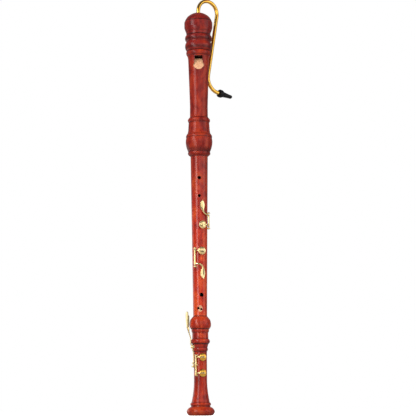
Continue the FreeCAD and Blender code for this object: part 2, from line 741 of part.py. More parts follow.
# ------------------------------------------------------- head joint and block
head_outline = [
    (cell("head_socket_rad"), cell("head_base_high")),
    spot("head_rim"),
    spot("head_lip"),
    spot("head_roll_low"),
    spot("head_roll_top") + spot("head_roll"),
    spot("swell_low"),
    spot("swell") + spot("swell_side"),
    spot("swell_top") + spot("swell_brow"),
    spot("edge_roll_top") + spot("edge_roll"),
    spot("head_cove"),
    spot("head_cone"),
    spot("head_collar_low"),
    spot("head_collar_top") + spot("head_collar"),
    spot("head_stem_low"),
    spot("head_waist"),
    spot("head_stem_mid"),
    spot("head_stem_top"),
    spot("crown_flare"),
    spot("crown_low"),
    (cell("cap_rim_across"), cell("head_tenon_base")) + spot("crown"),
    (cell("head_tenon_rad"), cell("head_tenon_base")),
    (cell("head_tenon_rad"), cell("head_cork_base")),
    (cell("head_cork_bed_rad"), cell("head_cork_base")),
    (cell("head_cork_bed_rad"), cell("head_cork_top")),
    (cell("head_tenon_rad"), cell("head_cork_top")),
    (cell("head_tenon_rad"), cell("head_tenon_end")),
    (cell("head_bore_rad"), cell("head_tenon_end")),
    (cell("head_bore_rad"), cell("head_socket_roof")),
    (cell("head_socket_rad"), cell("head_socket_roof")),
]
head_turned = turned("head_turned", head_outline)

window_reach = "22"
window = box("window", cell("window_width"), window_reach, "Sizes.window_top - Sizes.window_base")
window.Placement = shift(-value["window_width"] / 2, value["lip_under"] + 17, value["window_base"])
undercut = box("undercut", cell("window_width"), cell("lip_under"), "18")
undercut.Placement = shift(-value["window_width"] / 2, value["lip_under"], value["window_base"] - 18)
windway_high = "Sizes.head_tenon_end + 1 - Sizes.window_top"
windway = box("windway", cell("windway_width"), "Sizes.windway_roof - Sizes.windway_floor", windway_high)
windway.Placement = shift(-value["windway_width"] / 2, value["windway_roof"], value["window_top"])

ramp_side = [
    ("-Sizes.lip_over", cell("window_base")),
    ("-Sizes.lip_over - 2 * Sizes.ramp_rise", cell("window_base")),
    ("-Sizes.lip_over - 2 * Sizes.ramp_rise", "Sizes.window_base - 2 * Sizes.ramp_drop"),
]
ramp_wedge = padded("ramp_wedge", "YZ_Plane", ramp_side, "40", midplane=True)
ramp_plan = [
    ("-Sizes.window_width / 2", "Sizes.window_top"),
    ("-Sizes.window_width / 2", cell("ramp_flare_top")),
    ("-Sizes.ramp_flare_width / 2", cell("ramp_flare_low")),
    ("-Sizes.ramp_flare_width / 2", "Sizes.ramp_flare_low - 30"),
    ("Sizes.ramp_flare_width / 2", "Sizes.ramp_flare_low - 30"),
    ("Sizes.ramp_flare_width / 2", cell("ramp_flare_low")),
    ("Sizes.window_width / 2", cell("ramp_flare_top")),
    ("Sizes.window_width / 2", "Sizes.window_top"),
]
ramp_prism = padded("ramp_prism", "XZ_Plane", ramp_plan, "60")
ramp_cutter = shared("ramp_cutter", ramp_wedge, ramp_prism)
head_cutters = joined("head_cutters", [window, undercut, windway, ramp_cutter])
node(cut("head_wood", head_turned, head_cutters), "head_joint")

block_high = "Sizes.head_tenon_end - Sizes.window_top"
block_round = cylinder("block_round", "Sizes.head_bore_rad - Sizes.block_play", block_high)
block_round.Placement = shift(0, 0, value["window_top"])
block_flat = box("block_flat", "30", "10", block_high + " + 2")
block_flat.Placement = shift(-15, value["windway_floor"] + 10, value["window_top"] - 1)
node(cut("block_shape", block_round, block_flat), "fipple_block")
cork_ring("head_tenon_cork", "head_cork_bed_rad", "head_cork_rad", "head_cork_base", "head_cork_top")

# ------------------------------------------------------------------------ cap
cap_outline = [
    (cell("cap_socket_rad"), cell("cap_base_high")),
    spot("cap_rim"),
    spot("cap_bulb_top") + spot("cap_bulb"),
    spot("cap_ring_low"),
    spot("cap_ring_top") + spot("cap_ring"),
    spot("cap_cove"),
    spot("cap_cove_top"),
    spot("cap_swell") + spot("cap_swell_side"),
    spot("cap_swell_top"),
    spot("cap_step"),
    spot("dome_low"),
    spot("dome") + spot("dome_side"),
    ("Sizes.cap_crook_rad + 1", cell("cap_top_high")) + spot("dome_crest"),
    (cell("cap_crook_rad"), cell("cap_top_high")),
    (cell("cap_crook_rad"), cell("cap_throat_high")),
    (cell("cap_throat_rad"), cell("cap_throat_high")),
    (cell("cap_socket_rad"), cell("cap_chamber_high")),
]
node(turned("cap_turned", cap_outline), "head_cap")

# ---------------------------------------------------- crook and mouthpiece
slant = math.radians(value["crook_slant"])
dip = math.radians(value["crook_dip"])
bend = value["crook_bend_rad"]
turn_rad = value["crook_turn_rad"]
start_point = FreeCAD.Vector(0, value["crook_start"], 0)
rise_point = start_point + FreeCAD.Vector(0, value["crook_rise"], 0)
bend_middle = rise_point + FreeCAD.Vector(bend, 0, 0)
bend_end = bend_middle + FreeCAD.Vector(bend * math.cos(slant), -bend * math.sin(slant), 0)
leg_end = bend_end + FreeCAD.Vector(-math.sin(slant), -math.cos(slant), 0) * value["crook_leg"]
turn_middle = leg_end + FreeCAD.Vector(math.cos(slant), -math.sin(slant), 0) * turn_rad
turn_end = turn_middle + FreeCAD.Vector(-math.sin(dip), -math.cos(dip), 0) * turn_rad
blow_end = turn_end + FreeCAD.Vector(math.cos(dip), -math.sin(dip), 0) * value["crook_end"]
bend_top = bend_middle + FreeCAD.Vector(0, bend, 0)
half_turn = (math.pi + slant + math.pi * 1.5 - dip) / 2
turn_side = turn_middle + FreeCAD.Vector(math.cos(half_turn), math.sin(half_turn), 0) * turn_rad


def crook_path(body, name):
    """The centre line of the crook: rise, bend, leg, turn and blowing end."""
    path = make_sketch(body, name, "XZ_Plane")
    rise = path.addGeometry(Part.LineSegment(start_point, rise_point), False)
    over, over_first, over_last = add_arc(path, rise_point, bend_top, bend_end)
    leg = path.addGeometry(Part.LineSegment(bend_end, leg_end), False)
    under, under_first, under_last = add_arc(path, leg_end, turn_side, turn_end)
    blow = path.addGeometry(Part.LineSegment(turn_end, blow_end), False)
    ends = {
        rise: (1, 2),
        over: (over_first, over_last),
        leg: (1, 2),
        under: (under_first, under_last),
        blow: (1, 2),
    }
    for one, two in ((rise, over), (over, leg), (leg, under), (under, blow)):
        path.addConstraint(Sketcher.Constraint("Tangent", one, ends[one][1], two, ends[two][0]))
    fix_vertex(path, rise, ends[rise][0], "start", zero, cell("crook_start"))
    fix_vertex(path, rise, ends[rise][1], "rise", zero, "Sizes.crook_start + Sizes.crook_rise")
    for index, kind, title, alias in (
            (over, "Radius", "bend", "crook_bend_rad"),
            (under, "Radius", "turn", "crook_turn_rad"),
            (leg, "Distance", "leg", "crook_leg"),
            (blow, "Distance", "blow", "crook_end")):
        where = path.addConstraint(Sketcher.Constraint(kind, index, value[alias]))
        path.renameConstraint(where, title)
        path.setExpression("Constraints." + title, cell(alias))
    return path


def ring_sketch(body, name, radius):
    """A circle round the body's Z axis."""
    sketch = make_sketch(body, name, "XY_Plane")
    sketch.AttachmentOffset = FreeCAD.Placement(start_point.sub(FreeCAD.Vector(0, start_point.y, 0)),
                                                FreeCAD.Rotation())
    sketch.setExpression("AttachmentOffset.Base.z", cell("crook_start"))
    circle = Part.Circle(FreeCAD.Vector(0, 0, 0), Z_AXIS, number_of(radius))
    index = sketch.addGeometry(circle, False)
    sketch.addConstraint(Sketcher.Constraint("Coincident", index, 3, -1, 1))
    where = sketch.addConstraint(Sketcher.Constraint("Radius", index, number_of(radius)))
    sketch.renameConstraint(where, "radius")
    sketch.setExpression("Constraints.radius", radius)
    return sketch


crook_body = make_body("crook")
path_edges = ["Edge%d" % number for number in range(1, 6)]
for name, kind, radius in (("crook_outside", "PartDesign::AdditivePipe", cell("crook_rad")),
                           ("crook_inside", "PartDesign::SubtractivePipe", cell("crook_bore_rad"))):
    spine = crook_path(crook_body, name + "_path")
    circle = ring_sketch(crook_body, name + "_circle", radius)
    doc.recompute()
    pipe = crook_body.newObject(kind, name)
    pipe.Profile = circle
    pipe.Spine = (spine, path_edges)
    doc.recompute()
crook_body.Placement = around(value["crook_azimuth"] - 90)
node(crook_body, "crook_tube")

crook_cork = turned("crook_cork_ring", [
    (cell("crook_rad"), zero),
    (cell("crook_cork_rad"), zero),
    (cell("crook_cork_rad"), cell("crook_cork_length")),
    (cell("crook_rad"), cell("crook_cork_length")),
])
crook_cork.Placement = shift(0, 0, value["crook_cork_base"])
node(crook_cork, "crook_cork")


def along_blow(distance):
    """The frame at a distance beyond the lower bend, with +Z along the blowing end."""
    lean = FreeCAD.Rotation(FreeCAD.Vector(0, 1, 0), 90 + value["crook_dip"])
    direction = FreeCAD.Vector(math.cos(dip), 0, -math.sin(dip))
    start = FreeCAD.Vector(turn_end.x, 0, turn_end.y) + direction * distance
    return around(value["crook_azimuth"] - 90) * FreeCAD.Placement(start, lean)


blow_cork_at = value["crook_end"] - 1 - value["blow_cork_length"]
mouth_at = value["crook_end"] + 0.7 - value["blow_socket_depth"]
blow_cork = turned("blow_cork_ring", [
    (cell("crook_rad"), zero),
    (cell("blow_cork_rad"), zero),
    (cell("blow_cork_rad"), cell("blow_cork_length")),
    (cell("crook_rad"), cell("blow_cork_length")),
])
blow_cork.Placement = along_blow(blow_cork_at)
node(blow_cork, "blow_cork")

mouthpiece = turned("mouthpiece_turned", [
    (cell("blow_socket_rad"), zero),
    ("Sizes.blow_collar_rad - 1", zero),
    (cell("blow_collar_rad"), "1"),
    (cell("blow_collar_rad"), cell("blow_collar_length")),
    (cell("blow_neck_rad"), cell("blow_neck_at")),
    (cell("blow_tip_rad"), "Sizes.blow_length - Sizes.blow_round"),
    ("Sizes.blow_tip_rad - Sizes.blow_round", cell("blow_length"),
     "Sizes.blow_tip_rad - 0.293 * Sizes.blow_round", "Sizes.blow_length - 0.293 * Sizes.blow_round"),
    (cell("blow_bore_rad"), cell("blow_length")),
    (cell("blow_bore_rad"), cell("blow_socket_depth")),
    (cell("blow_socket_rad"), cell("blow_socket_depth")),
])
mouthpiece.Placement = along_blow(mouth_at)
node(mouthpiece, "mouthpiece")


# ----------------------------------------------------------------------- keys
def key_cup(name, label, cup_rad, place):
    """A domed cup with the recess for its pad; the base is the shut pad's seat."""
    corners = [
        (zero, "Sizes.pad_play + Sizes.pad_thick"),
        ("Sizes.%s - Sizes.cup_wall" % cup_rad, "Sizes.pad_play + Sizes.pad_thick"),
        ("Sizes.%s - Sizes.cup_wall" % cup_rad, cell("cup_skirt")),
        (cell(cup_rad), cell("cup_skirt")),
        (cell(cup_rad), cell("cup_shoulder")),
        (cell("cup_flat_rad"), cell("cup_top"),
         "0.5 * (Sizes.%s + Sizes.cup_flat_rad) + 0.13" % cup_rad,
         "0.5 * (Sizes.cup_shoulder + Sizes.cup_top) + 0.4"),
        (zero, cell("cup_top")),
    ]
    cup = turned(name + "_cup_turned", corners)
    cup.Placement = place
    node(cup, label + "_cup")
    pad = cylinder(name + "_pad_disc", "Sizes.%s - Sizes.pad_inset" % cup_rad, cell("pad_thick"))
    pad.Placement = place * shift(0, 0, value["pad_play"])
    node(pad, label + "_pad")


def arm_pieces(name, seat, hinge_azimuth, hinge_out, height, place):
    """The arm from a cup's top to its hinge tube, in the cup's own frame.

    It lies flat on the cup and then slants down to the tube.
    """
    bearing = math.radians(hinge_azimuth)
    across = hinge_out * math.sin(bearing)
    out = hinge_out * math.cos(bearing)
    top = value[seat] + value["cup_top"]
    thick = value["arm_thick"]
    elbow_across = math.copysign(min(abs(across) * 0.62, 10.0), across)
    bar = box(name + "_bar", "%r" % (abs(elbow_across) + 3.0), cell("arm_thick"), cell("arm_high"))
    left = min(elbow_across, -3.0 if elbow_across > 0 else elbow_across)
    bar.Placement = place * shift(left, top + thick, -value["arm_high"] / 2)
    reach_across = across - elbow_across
    reach_out = out - (top + thick / 2)
    length = math.hypot(reach_across, reach_out)
    link = box(name + "_link", "%r" % length, cell("arm_thick"), cell("arm_high"))
    lean = math.degrees(math.atan2(-reach_out, reach_across))
    spin = FreeCAD.Placement(FreeCAD.Vector(0, 0, 0), FreeCAD.Rotation(Z_AXIS, lean))
    link.Placement = (place * shift(elbow_across, top + thick / 2, -value["arm_high"] / 2)
                      * spin * shift(0, thick / 2, 0))
    elbow = cylinder(name + "_elbow", cell("arm_thick") + " / 2", cell("arm_high"))
    elbow.Placement = place * shift(elbow_across, top + thick / 2, -value["arm_high"] / 2)
    return [bar, link, elbow]


def hinge_point(azimuth, out, height):
    """The place of something upright on a hinge axis."""
    return around(azimuth) * shift(0, out, height)


def key_lever(name, label, pieces, azimuth, out, base, length):
    """The hinge tube with its arms, bored for the rod."""
    tube = cylinder(name + "_tube", cell("tube_rad"), cell(length))
    tube.Placement = hinge_point(azimuth, out, value[base])
    bore = cylinder(name + "_bore", "Sizes.rod_rad + Sizes.rod_play", cell(length) + " + 8")
    bore.Placement = hinge_point(azimuth, out, value[base] - 4)
    solid = joined(name + "_lever_solid", [tube] + pieces)
    return node(cut(name + "_lever_bored", solid, bore), label + "_lever")


def posts(name, label, azimuth, out, root, heights, rod_base, rod_length):
    """Ball posts on stems, and the rod through them."""
    pieces = []
    for place, height in enumerate(heights):
        stem = cylinder("%s_stem_%d" % (name, place), cell("post_stem_rad"), "%r" % (out - root))
        stem.Placement = around(azimuth, height) * shift(0, root, 0) * outward()
        ball = bind(doc.addObject("Part::Sphere", "%s_ball_%d" % (name, place)),
                    Radius=cell("post_head_rad"))
        ball.Placement = hinge_point(azimuth, out, height)
        trim = box("%s_trim_%d" % (name, place), "8", "8", cell("arm_high"))
        trim.Placement = around(azimuth) * shift(-4, out + 4, height - value["arm_high"] / 2)
        pieces.append(shared("%s_head_%d" % (name, place), ball, trim))
        pieces.append(stem)
    bore = cylinder(name + "_post_bore", "Sizes.rod_rad + Sizes.post_play", "%r" % (rod_length + 10))
    bore.Placement = hinge_point(azimuth, out, rod_base - 5)
    node(cut(name + "_posts_bored", joined(name + "_post_solids", pieces), bore), label + "_posts")
    rod = cylinder(name + "_rod_bar", cell("rod_rad"), "%r" % rod_length)
    rod.Placement = hinge_point(azimuth, out, rod_base)
    node(rod, label + "_rod")


def spring_wire(name, azimuth, out, base, length, side):
    """A straight needle spring beside a hinge tube, on its left (-1) or right (+1)."""
    wire = cylinder(name, cell("spring_rad"), "%r" % length)
    wire.Placement = around(azimuth) * shift(side * value["spring_out"], out, base)
    return wire


def shell(name, inner, thick, base, top):
    """An upright sleeve round the bore axis."""
    high = "%r" % (top - base)
    outside = cylinder(name + "_outside", "%s + %s" % (inner, thick), high)
    inside = cylinder(name + "_inside", inner, high)
    outside.Placement = shift(0, 0, base)
    inside.Placement = shift(0, 0, base)
    return cut(name, outside, inside)


def curved_touch(name, label, corners, azimuth, inner, base, top, hinge_azimuth, hinge_out):
    """A touch bent round the instrument, cut to meet its hinge tube."""
    plate = padded(name + "_plate", "XZ_Plane", corners, "40")
    plate.Placement = around(azimuth)
    bent = shared(name + "_bent", shell(name + "_shell", cell(inner), cell("touch_thick"), base, top), plate)
    relief = cylinder(name + "_relief", cell("tube_rad"), "%r" % (top - base))
    relief.Placement = hinge_point(hinge_azimuth, hinge_out, base)
    return node(cut(name + "_touch_shape", bent, relief), label + "_touch")


KEY_SIDES = {"ring": 1, "index": -1}
KEY_LABELS = {"ring": "ring_key", "index": "index_key"}
for key in MIDDLE_KEYS:
    label = KEY_LABELS[key]
    seat = key + "_seat"
    cup_azimuth = value[key + "_cup_azimuth"]
    hinge_azimuth = value[key + "_hinge_azimuth"]
    hinge_out = value[key + "_hinge_out"]
    height = value[key + "_cup_high"]
    opened = swing(hinge_azimuth, hinge_out, KEY_SIDES[key] * value[key + "_open"])
    frame = opened * around(cup_azimuth, height)
    key_cup(key, label, key + "_cup_rad", frame * shift(0, value[seat], 0) * outward())
    arm = arm_pieces(key + "_arm", seat, hinge_azimuth - cup_azimuth, hinge_out, height, frame)
    key_lever(key, label, arm, hinge_azimuth, hinge_out, key + "_tube_base", key + "_tube_length")
    low_post, top_post = post_heights(key)
    posts(key, label, hinge_azimuth, hinge_out, value["post_root"], (low_post, top_post),
          low_post - 2.6, top_post - low_post + 5.2)
    wire = spring_wire(key + "_wire", hinge_azimuth, hinge_out, low_post + 0.6, 16.0, KEY_SIDES[key])
    node(wire, label + "_spring")

ring_touch_outline = [
    spot("ring_leaf_tip") + spot("ring_leaf_left"),
    spot("ring_stem_top") + spot("ring_leaf_right"),
    spot("ring_stem_end") + spot("ring_stem_bow"),
    spot("ring_stem_foot"),
    spot("ring_stem_root") + spot("ring_stem_belly"),
]
curved_touch("ring", "ring_key", ring_touch_outline, value["ring_touch_azimuth"], "ring_touch_in",
             450.0, 500.0, value["ring_hinge_azimuth"], value["ring_hinge_out"])
index_touch_outline = [
    spot("index_stem_foot"),
    spot("index_stem_low"),
    spot("index_leaf_root") + spot("index_stem_side"),
    spot("index_leaf_tip") + spot("index_leaf_left"),
    spot("index_stem_brow") + spot("index_leaf_right"),
    spot("index_stem_top"),
    spot("index_stem_end"),
]
curved_touch("index", "index_key", index_touch_outline, value["index_touch_azimuth"], "index_touch_in",
             305.0, 355.0, value["index_hinge_azimuth"], value["index_hinge_out"])

# ------------------------------------------------------------- foot keywork
foot_azimuth = value["foot_hinge_azimuth"]
foot_out = value["foot_hinge_out"]
FOOT_KEYS = (
    ("sharp", "low_f_sharp_key", "sharp_cup_high", "sharp_arm_base", "sharp_arm_end"),
    ("low", "low_f_key", "low_cup_high", "low_arm_base", "low_arm_end"),
)
foot_opened = swing(foot_azimuth, foot_out, -value["foot_open"])


def tail_arm(name, base, end_azimuth):
    """A level arm that runs round the foot from the hinge tube to a lever's tail."""
    inner = value["tail_arm_in"]
    outer = value["tail_arm_out"]
    corners = []
    middle = (end_azimuth + foot_azimuth) / 2
    for radius, azimuth, via in ((outer, end_azimuth, False), (outer, foot_azimuth, True),
                                 (inner, foot_azimuth, False), (inner, end_azimuth, True)):
        bearing = math.radians(azimuth)
        corner = ("%r" % (radius * math.sin(bearing)), "%r" % (-radius * math.cos(bearing)))
        if via:
            half = math.radians(middle)
            corner += ("%r" % (radius * math.sin(half)), "%r" % (-radius * math.cos(half)))
        corners.append(corner)
    arm = padded(name, "XY_Plane", corners, cell("arm_high"))
    arm.Placement = shift(0, 0, base)
    return arm


for key, label, height, arm_base, arm_end in FOOT_KEYS:
    frame = foot_opened * around(value["foot_cup_azimuth"], value[height])
    key_cup(key, label, "foot_cup_rad", frame * shift(0, value["foot_seat"], 0) * outward())
    arm = arm_pieces(key + "_arm", "foot_seat", foot_azimuth - value["foot_cup_azimuth"], foot_out,
                     value[height], frame)
    arm.append(tail_arm(key + "_tail_arm", value[arm_base], value[arm_end]))
    key_lever(key, label, arm, foot_azimuth, foot_out, key + "_tube_base", key + "_tube_length")

post_levels = [height for post, height in FOOT_POSTS]
rod_low = min(post_levels) - 2.6
posts("foot", "foot_key", foot_azimuth, foot_out, value["foot_post_root"], post_levels,
      rod_low, max(post_levels) - min(post_levels) + 5.2)
springs = [
    spring_wire("sharp_wire", foot_azimuth, foot_out, post_levels[0] - 13.0, 12.4, -1),
    spring_wire("low_wire", foot_azimuth, foot_out, post_levels[2] + 0.6, 12.4, -1),
]
node(joined("foot_springs", springs), "foot_key_springs")

for lever, azimuth in LEVERS:
    label = {"sharp": "low_f_sharp", "low": "low_f"}[lever]
    outline = [
        spot(lever + "_tail_in"),
        spot("tail_top_in"),
        spot("tail_bow_in"),
        spot("tail_pin_in"),
        spot("tail_ring_in"),
        spot("tail_neck_in"),
        spot(lever + "_elbow_in"),
        spot(lever + "_top_in"),
        spot(lever + "_top_out"),
        spot(lever + "_elbow_out"),
        spot("tail_neck_out"),
        spot("tail_ring_out"),
        spot("tail_pin_out"),
        spot("tail_bow_out"),
        spot("tail_top_out"),
        spot(lever + "_tail_out"),
    ]
    strip = padded(lever + "_strip", "YZ_Plane", outline, cell("lever_wide"), midplane=True)
    half_turn_frame = FreeCAD.Placement(FreeCAD.Vector(0, 0, 0), FreeCAD.Rotation(Z_AXIS, 180))
    strip.Placement = around(value[azimuth]) * half_turn_frame
    sideways = FreeCAD.Placement(FreeCAD.Vector(0, 0, 0), FreeCAD.Rotation(FreeCAD.Vector(0, 1, 0), 90))
    pin_frame = around(value[azimuth]) * shift(0, value["lever_pin_out"], value["lever_pin_high"])
    boss = cylinder(lever + "_boss", cell("lever_boss_rad"), cell("lever_wide"))
    boss.Placement = pin_frame * shift(-value["lever_wide"] / 2, 0, 0) * sideways
    hole = cylinder(lever + "_pin_hole", "Sizes.lever_pin_rad + Sizes.rod_play", "Sizes.lever_wide + 4")
    hole.Placement = pin_frame * shift(-value["lever_wide"] / 2 - 2, 0, 0) * sideways
    node(cut(lever + "_bar", joined(lever + "_bar_solid", [strip, boss]), hole), label + "_lever_bar")
    foot_across, foot_up = spot(lever + "_leaf_foot")
    side_across, side_up = spot(lever + "_leaf_side")
    brow_across, brow_up = spot(lever + "_leaf_brow")
    leaf = padded(lever + "_leaf", "XZ_Plane", [
        ("-" + foot_across, foot_up, "-" + side_across, side_up),
        (foot_across, foot_up),
        (brow_across, brow_up, side_across, side_up),
        ("-" + brow_across, brow_up) + spot(lever + "_leaf_top"),
    ], cell("leaf_thick"))
    leaf.Placement = around(value[azimuth]) * shift(0, value[lever + "_leaf_out"], 0)
    node(leaf, label + "_touch")

cheeks = joined("cheeks", cheek_boxes("cheek"))
pin_holes = []
pins = []
pin_length = value["lever_wide"] + 2 * value["cheek_play"] + 2 * value["cheek_thick"]
for lever, azimuth in LEVERS:
    pin_frame = around(value[azimuth]) * shift(0, value["lever_pin_out"], value["lever_pin_high"])
    frame = pin_frame * shift(-pin_length / 2, 0, 0) * sideways
    pin = cylinder(lever + "_pin", cell("lever_pin_rad"), "%r" % pin_length)
    pin.Placement = frame
    pins.append(pin)
    drilled = cylinder(lever + "_cheek_hole", cell("lever_pin_rad"), "%r" % pin_length)
    drilled.Placement = frame
    pin_holes.append(drilled)
node(cut("lever_cheeks", cheeks, joined("cheek_holes", pin_holes)), "lever_saddles")
node(joined("pins", pins), "lever_pins")

# --------------------------------------------------- thumb rest and sling eye
plate_box = box("rest_plate_box", cell("rest_wide"), "12", cell("rest_high"))
plate_box.Placement = around(180.0) * shift(-value["rest_wide"] / 2, 24.0, value["rest_base"])
plate_shell = shell("rest_shell", cell("rest_in"), cell("rest_thick"), value["rest_base"] - 2,
                    value["rest_base"] + value["rest_high"] + 2)
rest_plate = shared("rest_plate", plate_shell, plate_box)
hook_reach = value["rest_hook_out"] - value["rest_in"] - 0.7
hook = box("rest_hook", cell("rest_wide"), "%r" % hook_reach, cell("rest_hook_thick"))
hook_place = shift(-value["rest_wide"] / 2, value["rest_hook_out"], value["rest_hook_base"])
hook.Placement = around(180.0) * hook_place
eye_frame = around(180.0) * shift(0, value["rest_in"] + value["eye_rad"], value["eye_high"])
eye_disc = cylinder("eye_disc", cell("eye_rad"), cell("eye_thick"))
eye_disc.Placement = eye_frame * shift(-value["eye_thick"] / 2, 0, 0) * sideways
eye_hole = cylinder("eye_hole", cell("eye_hole_rad"), "Sizes.eye_thick + 2")
eye_hole.Placement = eye_frame * shift(-value["eye_thick"] / 2 - 1, 0, 0) * sideways
eye = cut("sling_eye", eye_disc, eye_hole)
rest_solid = joined("rest_solid", [rest_plate, hook, eye])
screw_bores = []
screws = []
for place, height in enumerate(SCREW_HEIGHTS):
    reach = value["screw_length"] + value["rest_thick"]
    frame = around(180.0, height) * shift(0, value["rest_in"] - value["screw_length"], 0) * outward()
    shank = cylinder("screw_shank_%d" % place, cell("screw_rad"), "%r" % reach)
    shank.Placement = frame
    head = cylinder("screw_head_%d" % place, cell("screw_head_rad"), cell("screw_head_thick"))
    head.Placement = frame * shift(0, 0, reach)
    screws += [shank, head]
    bore = cylinder("screw_bore_%d" % place, cell("screw_rad"), "%r" % (reach + 3))
    bore.Placement = frame
    screw_bores.append(bore)
node(cut("rest_drilled", rest_solid, joined("screw_bores", screw_bores)), "thumb_rest")
node(joined("screws", screws), "thumb_rest_screws")

# ------------------------------------------------------------------- writing
doc.recompute()
for item in doc.Objects:
    if "Invalid" in item.State or "Error" in item.State:
        raise RuntimeError(item.Name + " did not build: " + ", ".join(item.State))
os.makedirs("parts", exist_ok=True)
for item in NODES:
    shape = item.Shape
    if shape.isNull() or not shape.isValid():
        raise RuntimeError(item.Label + " has no valid shape")
    shape.exportStep("parts/" + item.Label + ".step")
    size = shape.BoundBox
    print("%-22s %8.1f mm3  x %.1f..%.1f  y %.1f..%.1f  z %.1f..%.1f  solids %d" % (
        item.Label, shape.Volume, size.XMin, size.XMax, size.YMin, size.YMax,
        size.ZMin, size.ZMax, len(shape.Solids)))
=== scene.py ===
import json
import math
import bmesh
import bpy
from mathutils import Matrix, Vector


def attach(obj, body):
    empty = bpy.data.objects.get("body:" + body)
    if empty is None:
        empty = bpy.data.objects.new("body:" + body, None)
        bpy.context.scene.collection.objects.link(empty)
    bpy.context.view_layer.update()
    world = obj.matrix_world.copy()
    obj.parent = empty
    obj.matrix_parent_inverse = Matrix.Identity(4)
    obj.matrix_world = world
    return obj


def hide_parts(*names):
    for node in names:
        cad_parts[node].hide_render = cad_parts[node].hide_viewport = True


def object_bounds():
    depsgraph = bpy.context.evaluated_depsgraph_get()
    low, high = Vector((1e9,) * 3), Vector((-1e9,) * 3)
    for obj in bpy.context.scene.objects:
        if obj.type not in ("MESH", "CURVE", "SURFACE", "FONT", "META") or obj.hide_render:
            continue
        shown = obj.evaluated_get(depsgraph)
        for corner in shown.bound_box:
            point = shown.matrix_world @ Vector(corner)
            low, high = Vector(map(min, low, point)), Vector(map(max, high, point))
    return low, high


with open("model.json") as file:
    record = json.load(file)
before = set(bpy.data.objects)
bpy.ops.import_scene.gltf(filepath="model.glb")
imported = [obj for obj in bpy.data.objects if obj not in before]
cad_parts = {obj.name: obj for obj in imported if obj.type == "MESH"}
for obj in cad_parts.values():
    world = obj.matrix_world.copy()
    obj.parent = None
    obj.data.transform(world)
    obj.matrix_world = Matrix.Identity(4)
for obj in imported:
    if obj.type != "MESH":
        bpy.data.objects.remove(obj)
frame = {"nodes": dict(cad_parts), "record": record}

# Bass recorder with a bent crook: finishes, keywork in finer detail, camera and light.
# Lengths in the tables are millimetres, and everything placed in the scene is metres.
# An azimuth is measured round the bore from the front (-Y) towards +X.

CAD_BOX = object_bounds()
MM = 0.001
NODES = frame["nodes"]


def srgb(red, green, blue):
    """A colour given in 0 to 255 display values, as the linear values shaders want."""
    out = []
    for part in (red, green, blue):
        share = part / 255.0
        out.append(share / 12.92 if share <= 0.04045 else ((share + 0.055) / 1.055) ** 2.4)
    return tuple(out) + (1.0,)


